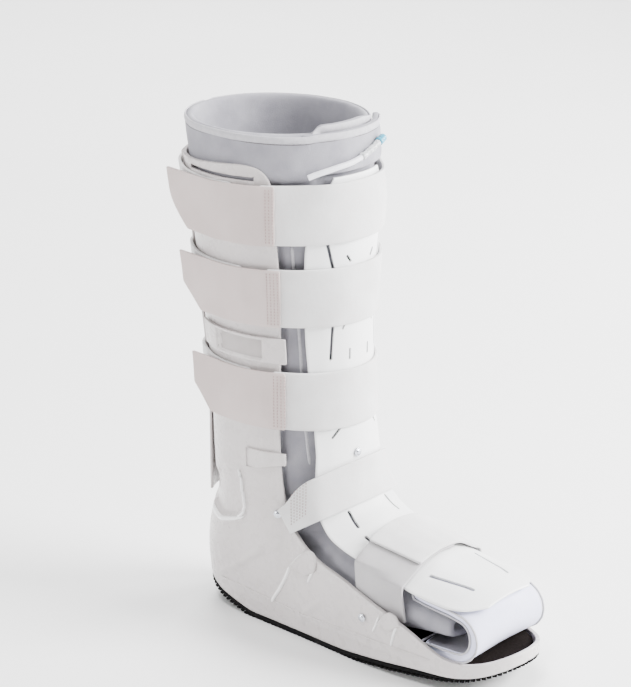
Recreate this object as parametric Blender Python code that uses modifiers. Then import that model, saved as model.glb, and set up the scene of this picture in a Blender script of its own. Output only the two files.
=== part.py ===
"""Tall walking boot: moulded rear shell, front panel, padded liner, rocker sole and webbing straps.

Metres, +Z up. The toe points to -Y and the outer side of the foot is -X.
The origin is on the floor, on the flat of the sole, below the axis of the leg.
Tables hold shares of the named sizes, one row for each section.
"""
import math

import bmesh
import bpy
import numpy as np
from mathutils import Vector
from mathutils.bvhtree import BVHTree

# Heights and lengths
RIM_HEIGHT = 0.4410          # floor to the collar's rim
WING_HEIGHT = 0.4170         # floor to the highest point of the side wings
ANKLE_HEIGHT = 0.1050        # floor to the corner where foot wall and wing meet
HEEL_REACH = 0.0750          # leg axis to the heel end of the sole
TOE_REACH = 0.2611           # leg axis to the toe end of the sole
INSTEP_HEIGHT = 0.1030       # floor to the panel's ridge at mid foot
FOOTBED_HEIGHT = 0.0210      # floor to the top of the footbed

# Half widths and half depths
RIM_HALF_WIDTH = 0.0752
RIM_HALF_DEPTH = 0.0809
FOOT_HALF_WIDTH = 0.0500     # padded foot of the liner
BALL_HALF_WIDTH = 0.0566     # sole at the ball of the foot
PANEL_HALF_WIDTH = 0.0500
FLAP_HALF_WIDTH = 0.0462     # folded toe flap
WALL_CURVE = 0.6             # how soon the walls reach their full width going up
HEEL_BULGE = 0.0070          # how far the heel cup swells past a straight wall

# Walls and clearances
LINER_THICK = 0.0090
FLAP_THICK = 0.0070
COLLAR_FLAP_THICK = 0.0060
SHELL_THICK = 0.0030
PLATE_THICK = 0.0020
PANEL_THICK = 0.0022
STRAP_THICK = 0.0024
TAB_THICK = 0.0018
SOLE_THICK = 0.0060
SOLE_TOE_THICK = 0.0016
INSOLE_THICK = 0.0046
GAP = 0.0003                 # between faces that touch
SEAT_GAP = 0.00036           # between a curved piece and what it is seated on, where they are nearest
SEAT_REACH = 0.0060          # how far off that nearest place is looked for
PANEL_CLEARANCE = 0.0006     # between the padding and the front panel where they are nearest
SOFT_CLEARANCE = 0.0016      # between the padding and a rigid wall
PLATE_CLEARANCE = 0.0012     # between the shell and what is bent over it
TAB_CLEARANCE = 0.0006       # between a hook tab and the strap under it
STRAP_CLEARANCE = 0.0016     # between a strap and the forms that it bridges

# Straps
STRAP_WIDTH = 0.0500
ANKLE_STRAP_WIDTH = 0.0345
ANCHOR_WIDTH = 0.0300        # short strap under the end of the ankle strap
STRAP_TOP_HEIGHT = 0.3757    # floor to the middle of each leg strap
STRAP_MIDDLE_HEIGHT = 0.3041
STRAP_LOW_HEIGHT = 0.2140
TAB_END_LENGTH = 0.0380      # length of the hook end that stands off the leg
TAB_TRIM = 0.44              # share of a hook end's width that its lower corner loses
ANKLE_STRAP_TRIM = 0.34      # share of the ankle strap's width that its upper corner loses
ANCHOR_AHEAD = 0.0080        # how far the short strap sits ahead of the ankle strap
TOE_TIP_LENGTH = 0.0100      # loose end of the toe strap
ANKLE_STRAP_TILT = 32.2      # degrees that the ankle strap's plane rises towards the front
ANKLE_STRAP_ALONG = -0.180   # middle of the ankle strap's loop, as along() reads it
ANKLE_STRAP_HEIGHT = 1.087   # as a share of ANKLE_HEIGHT
ANKLE_STRAP_TURN = 94.0      # degrees from its top to each end
ANCHOR_TURNS = (62.0, 46.0)
TOE_STRAP_ALONG = -0.560
TOE_STRAP_HEIGHT = 0.52      # as a share of ANKLE_HEIGHT
TOE_STRAP_TURN = 98.0        # degrees from its top to where the bands end inside the walls
TOE_BASE_TURN = -25.0        # where the lower band ends under the upper one
TOE_UPPER_TURN = 32.0        # where the upper band's loose end begins
TOE_LIFT_TURNS = (-53.0, -28.0)

# Keepers: heights as shares of the way between what they stand between, turns from the back in degrees
KEEPER_THICK = 0.0022
SIDE_KEEPER_SHARES = (0.197, 0.726)    # from the low strap's upper edge to the middle strap's lower edge
SIDE_KEEPER_TURNS = (52.0, 124.0)
LOW_KEEPER_SHARES = (0.532, 0.731)     # from ANKLE_HEIGHT to the low strap's lower edge
LOW_KEEPER_TURNS = (91.0, 120.0)

# Plate up the back
PLATE_TOP = 0.975            # share of WING_HEIGHT
PLATE_FOOT = 0.965           # share of ANKLE_HEIGHT
PLATE_HANG = 0.390           # share of RIM_HEIGHT below which it hangs straight
PLATE_HALF_TURN = 30.9       # degrees from the middle of the back to each edge

RIVET_RADIUS = 0.0036
RIVET_HEIGHT = 0.0018
TUBE_RADIUS = 0.0024
CONNECTOR_RADIUS = 0.0030
CAP_RADIUS = 0.0035
CAP_LENGTH = 0.0110
PROBE_REACH = 0.3            # how far out a search for a surface starts

# Toe flap: shares of TOE_REACH
FLAP_BEND = 0.845            # where its front curve begins
FLAP_NOSE = 0.083            # how far the curve reaches ahead
FLAP_LOW_START = 0.705
FLAP_HIGH_START = 0.672

# Collar flap
COLLAR_FLAP_TURNS = (38.0, -46.0)
COLLAR_FLAP_FOOT = 0.924     # share of RIM_HEIGHT

LOOP_SLOT_LENGTH = 0.0700    # slot through each wing near its top
LOOP_SLOT_HEIGHT = 0.0036
LOOP_SLOT_BACK = 0.0410
LOOP_SLOT_RISE = 0.966       # share of WING_HEIGHT

# Detail of the meshes
LINER_ROWS = 24
LINER_SIDES = 26
PANEL_ROWS = 26
PANEL_SIDES = 7
HEEL_STEPS = 7
SIDE_STEPS = 6
FORE_STEPS = 8
TOE_STEPS = 6
WING_ROWS = 9
TURN_STEP = 9.0
TOE_TURN_STEP = 7.0
STRAP_SLIT_STEPS = 2         # strap's two ends lie this far apart under the tab
TAB_STEPS = 6
TUBE_POINTS = 14
TUB_STEPS = (0.0, 0.2, 0.45, 0.7, 0.87, 1.0)
FOOTBED_LEAST = 0.0026
BOX_FACES = ((0, 1, 3, 2), (4, 6, 7, 5), (0, 4, 5, 1), (2, 3, 7, 6), (0, 2, 6, 4), (1, 5, 7, 3))

# Padded liner, outer face of the leg: height and half width as shares of the rim's,
# back and front reach as shares of the rim's half depth.
LEG_COLUMNS = ("height", "half_width", "back", "front")
LEG_TABLE = (
    (1.000, 1.000, 1.116, 0.884),
    (0.934, 0.997, 1.063, 0.915),
    (0.850, 0.990, 0.970, 0.948),
    (0.771, 0.917, 0.946, 0.946),
    (0.689, 0.836, 0.926, 0.933),
    (0.590, 0.791, 0.853, 0.927),
    (0.485, 0.769, 0.782, 0.923),
    (0.430, 0.755, 0.785, 0.939),
    (0.374, 0.745, 0.790, 0.964),
    (0.297, 0.745, 0.765, 0.964),
    (0.227, 0.735, 0.735, 0.964),
)

# Padded liner below the leg. Front end and back end of each slanted section: lengths as shares
# of TOE_REACH ahead of the leg axis or HEEL_REACH behind it, heights as shares of INSTEP_HEIGHT,
# half width as a share of FOOT_HALF_WIDTH, and how square the front and the back are.
FOOT_COLUMNS = ("front", "front_height", "back", "back_height", "half_width", "front_square", "back_square")
FOOT_TABLE = (
    (-0.298, 1.620, 0.840, 1.500, 1.115, 2.00, 2.00),
    (-0.297, 1.455, 0.800, 1.250, 1.105, 2.10, 2.00),
    (-0.300, 1.320, 0.800, 1.000, 1.060, 2.30, 2.00),
    (-0.318, 1.190, 0.880, 0.740, 0.990, 2.60, 2.05),
    (-0.349, 1.090, 0.920, 0.500, 0.935, 2.90, 2.20),
    (-0.387, 1.028, 0.740, 0.335, 0.915, 3.10, 2.40),
    (-0.433, 0.985, 0.380, 0.264, 0.915, 3.20, 2.80),
    (-0.498, 0.940, -0.057, 0.257, 0.940, 3.20, 3.20),
    (-0.582, 0.885, -0.268, 0.257, 0.960, 3.20, 3.20),
    (-0.655, 0.760, -0.460, 0.266, 0.965, 2.70, 3.20),
    (-0.745, 0.690, -0.690, 0.362, 0.910, 2.60, 3.00),
    (-0.820, 0.655, -0.812, 0.364, 0.870, 2.60, 3.00),
)

# Half width of the sole between its round ends, as a share of BALL_HALF_WIDTH
SOLE_COLUMNS = ("along", "half_width")
SOLE_TABLE = (
    (0.400, 0.777), (0.000, 0.804), (-0.153, 0.848), (-0.306, 0.901), (-0.421, 0.954),
    (-0.536, 0.995), (-0.651, 1.000), (-0.766, 0.954),
)

# Rocker: height of the sole's under side as a share of FOOTBED_HEIGHT
ROCKER_COLUMNS = ("along", "height")
ROCKER_TABLE = (
    (1.000, 1.040), (0.800, 0.880), (0.650, 0.690), (0.480, 0.430), (0.280, 0.230),
    (0.130, 0.080), (0.070, 0.000), (-0.390, 0.000), (-0.450, 0.050),
    (-0.517, 0.143), (-0.601, 0.230), (-0.686, 0.333), (-0.781, 0.440), (-0.854, 0.550),
    (-0.892, 0.620), (-0.935, 0.743), (-0.973, 0.920), (-1.000, 1.070),
)

# Sole thickness along the foot, as a share of the way from the toe's to the full thickness
SOLE_TAPER_COLUMNS = ("along", "share")
SOLE_TAPER_TABLE = ((1.0, 1.0), (-0.728, 1.0), (-0.831, 0.35), (-0.892, 0.0), (-1.0, 0.0))

# Top edge of the foot wall ahead of the wings: height as a share of ANKLE_HEIGHT, and how far
# it leans out past the sole, as a share of BALL_HALF_WIDTH
WALL_COLUMNS = ("along", "height", "lean")
WALL_TABLE = (
    (-0.180, 1.000, 0.150), (-0.222, 0.943, 0.140), (-0.253, 0.857, 0.125), (-0.272, 0.810, 0.110),
    (-0.314, 0.752, 0.085), (-0.410, 0.695, 0.050), (-0.517, 0.590, 0.030), (-0.597, 0.524, 0.026),
    (-0.647, 0.486, 0.022), (-0.716, 0.410, 0.015), (-0.781, 0.300, 0.000), (-0.823, 0.262, 0.000),
    (-0.873, 0.252, 0.000), (-0.911, 0.259, 0.000), (-0.950, 0.276, 0.000), (-0.981, 0.307, 0.000),
    (-1.000, 0.324, 0.000),
)

# Front edge of the wings: height as a share of WING_HEIGHT
WING_EDGE_COLUMNS = ("height", "along")
WING_EDGE_TABLE = (
    (0.252, -0.180), (0.322, -0.158), (0.360, -0.152), (0.448, -0.149), (0.575, -0.157),
    (0.674, -0.161), (0.830, -0.170), (0.930, -0.168), (0.970, -0.164), (1.000, -0.160),
)

# Top edge of the wings as a share of WING_HEIGHT, by share of the way from the back to the front edge
WING_TOP_COLUMNS = ("column", "height")
WING_TOP_TABLE = ((0.0, 0.976), (0.39, 0.984), (0.56, 0.994), (0.80, 0.997), (0.92, 0.992), (1.0, 0.964))

# Front panel on the leg: height as a share of RIM_HEIGHT, reach of its inner face ahead of the leg
# axis as a share of RIM_HALF_DEPTH, half width and fall of its edges as shares of PANEL_HALF_WIDTH
SHIN_COLUMNS = ("height", "front", "half_width", "fall")
SHIN_TABLE = (
    (0.9191, 0.9556, 0.56, 0.120), (0.8642, 0.9604, 0.84, 0.280), (0.7941, 0.9540, 0.96, 0.450),
    (0.7007, 0.9443, 0.94, 0.500), (0.5839, 0.9378, 0.87, 0.480), (0.4858, 0.9314, 0.82, 0.400),
    (0.4251, 0.9540, 0.80, 0.340),
)

# Middle line of the front panel's outer face on the foot: height as a share of INSTEP_HEIGHT,
# half width and fall as above
PANEL_COLUMNS = ("along", "height", "half_width", "fall")
PANEL_TABLE = (
    (-0.3090, 1.620, 0.82, 0.290), (-0.3100, 1.450, 0.86, 0.280),
    (-0.3140, 1.310, 0.90, 0.290), (-0.3330, 1.190, 0.95, 0.300), (-0.3750, 1.090, 1.00, 0.310),
    (-0.4330, 1.030, 1.00, 0.310), (-0.5050, 0.990, 1.00, 0.310), (-0.5820, 0.940, 1.00, 0.310),
    (-0.6930, 0.880, 1.02, 0.310), (-0.7660, 0.850, 1.02, 0.290), (-0.8350, 0.820, 1.02, 0.250),
    (-0.8850, 0.775, 0.90, 0.170), (-0.9200, 0.740, 0.56, 0.060),
)

# Slots cut through the front panel: share of the way down the panel, place across it,
# length, width and turn
SLOT_COLUMNS = ("down", "across", "length", "width", "turn")
SLOT_TABLE = (
    (0.925, 0.46, 0.0380, 0.0035, 12.0),
    (0.660, 0.47, 0.0140, 0.0028, 22.0),
    (0.755, 0.56, 0.0130, 0.0028, 0.0),
)

# Rivets on the foot walls: place along the foot and height as a share of ANKLE_HEIGHT
RIVET_COLUMNS = ("place", "along", "height")
RIVET_TABLE = (("ankle", -0.145, 1.060), ("toe", -0.506, 0.420))
FRONT_RIVET = (-0.0050, 1.590)    # place across, and height as a share of INSTEP_HEIGHT

# The tube's route over the collar flap and its connector's: turn round the leg from the front,
# and height as a share of RIM_HEIGHT
ROUTE_COLUMNS = ("turn", "height")
TUBE_TABLE = ((36.0, 0.9245), (30.7, 0.9300), (24.0, 0.9350), (18.4, 0.9385), (9.1, 0.9430), (1.5, 0.9485))
CONNECTOR_TABLE = ((-5.5, 0.9560), (-11.0, 0.9600), (-16.5, 0.9640))


def table_column(table, columns, name):
    """One column of a table as an array."""
    return np.array([row[columns.index(name)] for row in table], dtype=float)


def read_table(table, columns, key, name, at):
    """Straight-line reading of one column against another."""
    keys = table_column(table, columns, key)
    values = table_column(table, columns, name)
    order = np.argsort(keys)
    return np.interp(at, keys[order], values[order])


def along(share):
    """A place along the foot in metres: positive shares run back to the heel."""
    share = np.asarray(share, dtype=float)
    return np.where(share >= 0.0, share * HEEL_REACH, share * TOE_REACH)


def share_along(y):
    """The share that along() turns into y."""
    y = np.asarray(y, dtype=float)
    return np.where(y >= 0.0, y / HEEL_REACH, y / TOE_REACH)


def smooth_rows(values, count):
    """Catmull-Rom reading of table rows at count even steps."""
    values = np.asarray(values, dtype=float)
    padded = np.vstack([2 * values[0] - values[1], values, 2 * values[-1] - values[-2]])
    result = []
    for t in np.linspace(0.0, len(values) - 1.0, count):
        i = min(int(t), len(values) - 2)
        f = t - i
        a, b, c, d = padded[i:i + 4]
        point = 2 * b + (c - a) * f + (2 * a - 5 * b + 4 * c - d) * f * f
        result.append(0.5 * (point + (3 * b - a - 3 * c + d) * f ** 3))
    return np.array(result)


def smoothstep(low, high, value):
    """0 below low, 1 above high, smooth between."""
    t = np.clip((value - low) / (high - low), 0.0, 1.0)
    return t * t * (3.0 - 2.0 * t)


def new_material(name, colour, roughness, metallic=0.0):
    """A plain Principled finish."""
    material = bpy.data.materials.new(name)
    material.use_nodes = True
    shader = material.node_tree.nodes["Principled BSDF"]
    shader.inputs["Base Color"].default_value = (*colour, 1.0)
    shader.inputs["Roughness"].default_value = roughness
    shader.inputs["Metallic"].default_value = metallic
    return material


def link_mesh(name, verts, faces, collection, material=None):
    """A mesh object with its faces turned outwards and smooth shading."""
    mesh = bpy.data.meshes.new(name)
    mesh.from_pydata([tuple(v) for v in verts], [], faces)
    mesh.update()
    obj = bpy.data.objects.new(name, mesh)
    collection.objects.link(obj)
    if material is not None:
        mesh.materials.append(material)
    mesh.shade_smooth()
    mesh.set_sharp_from_angle(angle=math.radians(35.0))
    return obj


def grid_faces(rows, columns, wrap=False):
    """Quads of a grid whose points run along each row."""
    last = columns if wrap else columns - 1
    return [
        (r * columns + c, r * columns + (c + 1) % columns, (r + 1) * columns + (c + 1) % columns, (r + 1) * columns + c)
        for r in range(rows - 1)
        for c in range(last)
    ]


def add_wall(obj, thickness, outwards):
    """Give an open surface its wall thickness."""
    wall = obj.modifiers.new("wall", "SOLIDIFY")
    wall.thickness = thickness
    wall.offset = 1.0 if outwards else -1.0
    wall.use_even_offset = False
    wall.use_quality_normals = True
    return wall


def grid_wall(name, grid, thickness, outwards, material, wrap=False, flip=False):
    """An open grid surface turned into a closed wall."""
    rows, columns = grid.shape[:2]
    faces = grid_faces(rows, columns, wrap)
    if flip:
        faces = [face[::-1] for face in faces]
    obj = link_mesh(name, grid.reshape(-1, 3), faces, PARTS, material)
    add_wall(obj, thickness, outwards)
    return obj


def world_triangles(obj):
    """Corner positions of an object's evaluated triangles."""
    graph = bpy.context.evaluated_depsgraph_get()
    evaluated = obj.evaluated_get(graph)
    mesh = evaluated.to_mesh()
    mesh.calc_loop_triangles()
    points = np.array([tuple(obj.matrix_world @ v.co) for v in mesh.vertices])
    corners = np.array([tuple(t.vertices) for t in mesh.loop_triangles])
    evaluated.to_mesh_clear()
    return points[corners]


def section_points(triangles, origin, normal):
    """Where the edges of triangles cross a plane."""
    found = []
    side = (triangles - origin) @ normal
    for a, b in ((0, 1), (1, 2), (2, 0)):
        da, db = side[:, a], side[:, b]
        hit = (da * db) < 0.0
        t = (da[hit] / (da[hit] - db[hit]))[:, None]
        found.append(triangles[hit, a] * (1.0 - t) + triangles[hit, b] * t)
    return np.vstack(found)


def taut_outline(points, clearance, angles, supports=72):
    """Radius at each angle of a taut band that clears 2D points: the outline of their support lines."""
    turns = np.linspace(0.0, 2.0 * math.pi, supports, endpoint=False)
    normals = np.stack([np.cos(turns), np.sin(turns)], axis=1)
    reach = (points @ normals.T).max(axis=0) + clearance
    rays = np.stack([np.cos(angles), np.sin(angles)], axis=1)
    facing = rays @ normals.T
    radius = np.where(facing > 0.05, reach[None, :] / np.maximum(facing, 0.05), np.inf)
    return radius.min(axis=1)


def bridge_corners(points, clearance, angles):
    """Radius at each angle, moved out where a straight step would cut across a corner between angles."""
    radius = taut_outline(points, clearance, angles)
    needed = radius.copy()
    for i in range(len(angles) - 1):
        between = np.linspace(angles[i], angles[i + 1], 9)[1:-1]
        a, b = radius[i], radius[i + 1]
        span = angles[i + 1] - angles[i]
        chord = a * b * np.sin(span) / (a * np.sin(between - angles[i]) + b * np.sin(angles[i + 1] - between))
        short = max(0.0, float((taut_outline(points, clearance, between) - chord).max()))
        needed[i] = max(needed[i], a + short)
        needed[i + 1] = max(needed[i + 1], b + short)
    return needed


def band_grid(triangles, centre, across, up, offsets, turns, clearance):
    """Points of a taut band: one row for each offset along its width, one column for each turn.

    across and up span the band's plane; a turn of 0 points along up, and it turns towards -across.
    Rows move out where the sections between two rows reach further than the straight way.
    """
    normal = np.cross(across, up)
    angles = np.pi / 2.0 + np.asarray(turns)

    def radius_at(offset):
        """Radius at each turn in the plane at one place across the band."""
        origin = centre + normal * offset
        points = section_points(triangles, origin, normal) - origin
        flat = np.stack([points @ across, points @ up], axis=1)
        return bridge_corners(flat, clearance, angles)

    radii = [radius_at(offset) for offset in offsets]
    needed = [radius.copy() for radius in radii]
    for i in range(len(offsets) - 1):
        for share in (0.25, 0.5, 0.75):
            between = radius_at(offsets[i] + (offsets[i + 1] - offsets[i]) * share)
            short = np.maximum(0.0, between - radii[i] * (1.0 - share) - radii[i + 1] * share)
            needed[i] = np.maximum(needed[i], radii[i] + short)
            needed[i + 1] = np.maximum(needed[i + 1], radii[i + 1] + short)
    ray = np.cos(angles)[:, None] * across + np.sin(angles)[:, None] * up
    return np.array([
        centre + normal * offset + ray * radius[:, None] for offset, radius in zip(offsets, needed)
    ])


def raised(grid, distance):
    """A grid moved out square to itself; distance is one length, or one for each column."""
    normals = np.cross(np.gradient(grid, axis=1), np.gradient(grid, axis=0))
    normals /= np.linalg.norm(normals, axis=2)[..., None]
    return grid + normals * np.broadcast_to(distance, grid.shape[1])[None, :, None]


def tree_of(triangles):
    """A search tree over triangles."""
    corners = triangles.reshape(-1, 3)
    return BVHTree.FromPolygons(corners.tolist(), np.arange(len(corners)).reshape(-1, 3).tolist())


def grid_triangles(grid):
    """A grid's quads split into triangles, as corner positions."""
    a, b, c, d = grid[:-1, :-1], grid[:-1, 1:], grid[1:, 1:], grid[1:, :-1]
    first = np.stack([a, b, c], axis=2).reshape(-1, 3, 3)
    return np.concatenate([first, np.stack([a, c, d], axis=2).reshape(-1, 3, 3)])


def nearest_distance(triangles, others):
    """Least distance between two sets of triangles, from their corners, edges' middles and centres."""
    least = math.inf
    for one, other in ((triangles, others), (others, triangles)):
        low, high = other.reshape(-1, 3).min(axis=0) - SEAT_REACH, other.reshape(-1, 3).max(axis=0) + SEAT_REACH
        middles = (one + np.roll(one, 1, axis=1)) / 2.0
        points = np.concatenate([one.reshape(-1, 3), middles.reshape(-1, 3), one.mean(axis=1)])
        points = points[((points > low) & (points < high)).all(axis=1)]
        tree = tree_of(other)
        least = min([least] + [tree.find_nearest(point)[3] for point in points.tolist()])
    return least


def seat(grid, triangles):
    """Move an open grid straight in until its nearest place is a gap away from the triangles."""
    return raised(grid, SEAT_GAP - nearest_distance(grid_triangles(grid), triangles))


# Liner

def leg_profile():
    """Height, half width, back and front reach down the leg, as the liner's level rows have them."""
    level = [
        (row[1], row[4], row[2], -row[0])
        for row in smooth_rows(liner_rows(), LINER_ROWS) if abs(row[1] - row[3]) < 1e-6
    ]
    lowest = min(row[0] for row in level)
    for height, half_width, back, front in LEG_TABLE:
        if height * RIM_HEIGHT < lowest - 0.002:
            level.append((
                height * RIM_HEIGHT, half_width * RIM_HALF_WIDTH, back * RIM_HALF_DEPTH, front * RIM_HALF_DEPTH,
            ))
    return np.array(sorted(level))


def leg_value(name, height):
    """Half width, back or front reach of the liner's leg at a height in metres."""
    column = LEG_COLUMNS.index(name)
    return float(np.interp(height, LEG_PROFILE[:, 0], LEG_PROFILE[:, column]))


def liner_rows():
    """Sections of the liner's outer face as rows of front y, z, back y, z, half width, squareness."""
    rows = []
    for height, half_width, back, front in LEG_TABLE[:8]:
        z = height * RIM_HEIGHT
        rows.append((-front * RIM_HALF_DEPTH, z, back * RIM_HALF_DEPTH, z, half_width * RIM_HALF_WIDTH, 2.0, 2.0))
    for front, front_z, back, back_z, half_width, front_square, back_square in FOOT_TABLE:
        rows.append((
            float(along(front)), front_z * INSTEP_HEIGHT, float(along(back)), back_z * INSTEP_HEIGHT,
            half_width * FOOT_HALF_WIDTH, front_square, back_square,
        ))
    return rows


def section_ring(row, columns):
    """Points of one slanted super-ellipse section, from the front round the outer side."""
    front_y, front_z, back_y, back_z, half_width, front_square, back_square = row
    centre = np.array([0.0, (front_y + back_y) / 2.0, (front_z + back_z) / 2.0])
    reach = np.array([0.0, (front_y - back_y) / 2.0, (front_z - back_z) / 2.0])
    side = np.array([-half_width, 0.0, 0.0])
    points = []
    for turn in np.linspace(0.0, 2.0 * math.pi, columns, endpoint=False):
        c, s = math.cos(turn), math.sin(turn)
        power = front_square if c > 0.0 else back_square
        radius = (abs(c) ** power + abs(s) ** power) ** (-1.0 / power)
        points.append(centre + reach * c * radius + side * s * radius)
    return points


def build_liner(material):
    rows = smooth_rows(liner_rows(), LINER_ROWS)
    grid = np.array([section_ring(row, LINER_SIDES) for row in rows])
    return grid_wall("liner", grid, LINER_THICK, False, material, wrap=True)


# Sole, footbed and shell

def sole_half_width(y):
    """Half width of the sole between its round ends."""
    return BALL_HALF_WIDTH * read_table(SOLE_TABLE, SOLE_COLUMNS, "along", "half_width", share_along(y))


def rocker(y):
    """Height of the under side of the sole."""
    return FOOTBED_HEIGHT * read_table(ROCKER_TABLE, ROCKER_COLUMNS, "along", "height", share_along(y))


def sole_thickness(y):
    """Thickness of the rubber, thinner at the toe."""
    share = read_table(SOLE_TAPER_TABLE, SOLE_TAPER_COLUMNS, "along", "share", share_along(y))
    return SOLE_TOE_THICK + (SOLE_THICK - SOLE_TOE_THICK) * share


def footbed(y):
    """Height of the footbed, which rises with the rocker at the toe."""
    return np.maximum(FOOTBED_HEIGHT, rocker(y) + sole_thickness(y) + FOOTBED_LEAST)


def half_outline(inset=0.0):
    """Outer-side half of the sole's outline, from the heel's middle to the toe's, as x, y pairs."""
    heel_y, toe_y = along(SOLE_TABLE[0][0]), along(SOLE_TABLE[-1][0])
    heel_w, toe_w = sole_half_width(heel_y), sole_half_width(toe_y)
    points = []
    for k in range(HEEL_STEPS):
        turn = 0.5 * math.pi * k / HEEL_STEPS
        points.append((
            -(heel_w - inset) * math.sin(turn), heel_y + (HEEL_REACH - heel_y - inset) * math.cos(turn),
        ))
    corner_y = along(WALL_TABLE[0][0])
    for y in np.linspace(heel_y, corner_y, SIDE_STEPS + 1)[:-1]:
        points.append((-(sole_half_width(y) - inset), float(y)))
    for y in np.linspace(corner_y, toe_y, FORE_STEPS + 1)[:-1]:
        points.append((-(sole_half_width(y) - inset), float(y)))
    for k in range(TOE_STEPS + 1):
        turn = 0.5 * math.pi * k / TOE_STEPS
        points.append((
            -(toe_w - inset) * math.cos(turn), toe_y - (TOE_REACH + toe_y - inset) * math.sin(turn),
        ))
    return np.array(points)


def slab(name, inset, lower, upper, material, collection, spread=0.0, end_width=0.0040):
    """A plate under the foot between two height curves, laid out in strips across the outline.

    spread moves the points of the upper face, one x, y pair for each point of the half outline.
    """
    half = half_outline(inset)
    across = np.linspace(-1.0, 1.0, 5)
    layers = []
    for curve, outline in ((lower, half), (upper, half + spread)):
        heights = [float(curve(y)) for _, y in half]
        outline = outline.copy()
        outline[[0, -1], 0] = -end_width
        layers.append([(-x * s, y, z) for (x, y), z in zip(outline, heights) for s in across])
    count, columns = len(half), len(across)
    top = len(layers[0])
    faces = [face[::-1] for face in grid_faces(count, columns)]
    faces += [tuple(i + top for i in face) for face in grid_faces(count, columns)]
    rim = list(range(columns)) + [r * columns + columns - 1 for r in range(1, count)]
    rim += [(count - 1) * columns + c for c in range(columns - 2, -1, -1)]
    rim += [r * columns for r in range(count - 2, 0, -1)]
    for a, b in zip(rim, rim[1:] + rim[:1]):
        faces.append((b, a, a + top, b + top))
    obj = link_mesh(name, layers[0] + layers[1], faces, collection, material)
    fix_normals(obj)
    return obj


def leg_ring_point(height, column, clearance):
    """Outer face of the wings at a height: columns run from the back to the front edge."""
    half_width = leg_value("half_width", height) + clearance
    back = leg_value("back", height) + clearance
    front = leg_value("front", height) + clearance
    centre = (back - front) / 2.0
    reach = (back + front) / 2.0
    if column <= HEEL_STEPS:
        turn = 0.5 * math.pi * column / HEEL_STEPS
        return -half_width * math.sin(turn), centre + reach * math.cos(turn)
    edge = float(along(read_table(
        WING_EDGE_TABLE, WING_EDGE_COLUMNS, "height", "along", height / WING_HEIGHT)))
    y = centre + (edge - centre) * (column - HEEL_STEPS) / SIDE_STEPS
    return -half_width * math.sqrt(max(0.0, 1.0 - ((y - centre) / reach) ** 2)), y


def shell_half_columns():
    """Points of the shell's outer face on the outer side, one list of rows for each column."""
    half = half_outline()
    wing_columns = HEEL_STEPS + SIDE_STEPS
    clearance = SHELL_THICK + SOFT_CLEARANCE
    columns = []
    for index, (x, y) in enumerate(half):
        foot = np.array([x, y, float(rocker(y) + sole_thickness(y))])
        if index <= wing_columns:
            rim_x, rim_y = leg_ring_point(ANKLE_HEIGHT, index, clearance)
            rim = np.array([rim_x, rim_y, ANKLE_HEIGHT])
        else:
            share = share_along(y)
            lean = BALL_HALF_WIDTH * read_table(WALL_TABLE, WALL_COLUMNS, "along", "lean", share)
            height = ANKLE_HEIGHT * read_table(WALL_TABLE, WALL_COLUMNS, "along", "height", share)
            rim = np.array([x - lean, y, height])
        bulge = HEEL_BULGE * max(0.0, math.cos(0.5 * math.pi * index / HEEL_STEPS)) if index < HEEL_STEPS else 0.0
        rows = []
        for f in TUB_STEPS:
            point = foot + (rim - foot) * f
            point[0] = foot[0] + (rim[0] - foot[0]) * f ** WALL_CURVE
            point[1] += bulge * math.sin(math.pi * f)
            rows.append(point)
        if index <= wing_columns:
            top = WING_HEIGHT * read_table(WING_TOP_TABLE, WING_TOP_COLUMNS, "column", "height", index / wing_columns)
            for g in np.linspace(0.0, 1.0, WING_ROWS + 1)[1:]:
                height = ANKLE_HEIGHT + (top - ANKLE_HEIGHT) * g
                wing_x, wing_y = leg_ring_point(height, index, clearance)
                rows.append(np.array([wing_x, wing_y, height]))
        columns.append(rows)
    return columns


def build_shell(material):
    """Walls and wings from one surface, joined to the footbed block."""
    half = shell_half_columns()
    mirrored = [[point * (-1.0, 1.0, 1.0) for point in rows] for rows in half[1:-1]]
    ring = half + mirrored[::-1]
    verts, first = [], []
    for rows in ring:
        first.append(len(verts))
        verts.extend(rows)
    verts = np.array(verts)
    middle = [first[0] + k for k in range(len(ring[0]))] + [first[len(half) - 1] + k for k in range(len(half[-1]))]
    verts[middle, 0] = 0.0
    faces = []
    for a in range(len(ring)):
        b = (a + 1) % len(ring)
        for k in range(min(len(ring[a]), len(ring[b])) - 1):
            faces.append((first[a] + k, first[b] + k, first[b] + k + 1, first[a] + k + 1))
    shell = link_mesh("rear_shell", verts, faces, PARTS, material)
    add_wall(shell, SHELL_THICK, False)
    spread = []
    for rows in half:
        wall = np.array(rows)
        height = float(footbed(wall[0, 1]))
        spread.append([np.interp(height, wall[:, 2], wall[:, axis]) - wall[0, axis] for axis in (0, 1)])
    block = slab(
        "footbed_block", SHELL_THICK / 2.0,
        lambda y: rocker(y) + sole_thickness(y) + 2.0 * GAP, footbed, material, CUTTERS, np.array(spread),
    )
    join_boolean(shell, block, "UNION")
    low = LOOP_SLOT_RISE * WING_HEIGHT
    ahead = LOOP_SLOT_BACK - LOOP_SLOT_LENGTH
    slot = box("loop_slots", (-PROBE_REACH, ahead, low), (PROBE_REACH, LOOP_SLOT_BACK, low + LOOP_SLOT_HEIGHT))
    join_boolean(shell, slot, "DIFFERENCE")
    return shell


def box(name, low, high):
    """A hidden box between two corners."""
    corners = [(x, y, z) for x in (low[0], high[0]) for y in (low[1], high[1]) for z in (low[2], high[2])]
    cutter = link_mesh(name, corners, BOX_FACES, CUTTERS)
    fix_normals(cutter)
    return cutter


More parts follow.
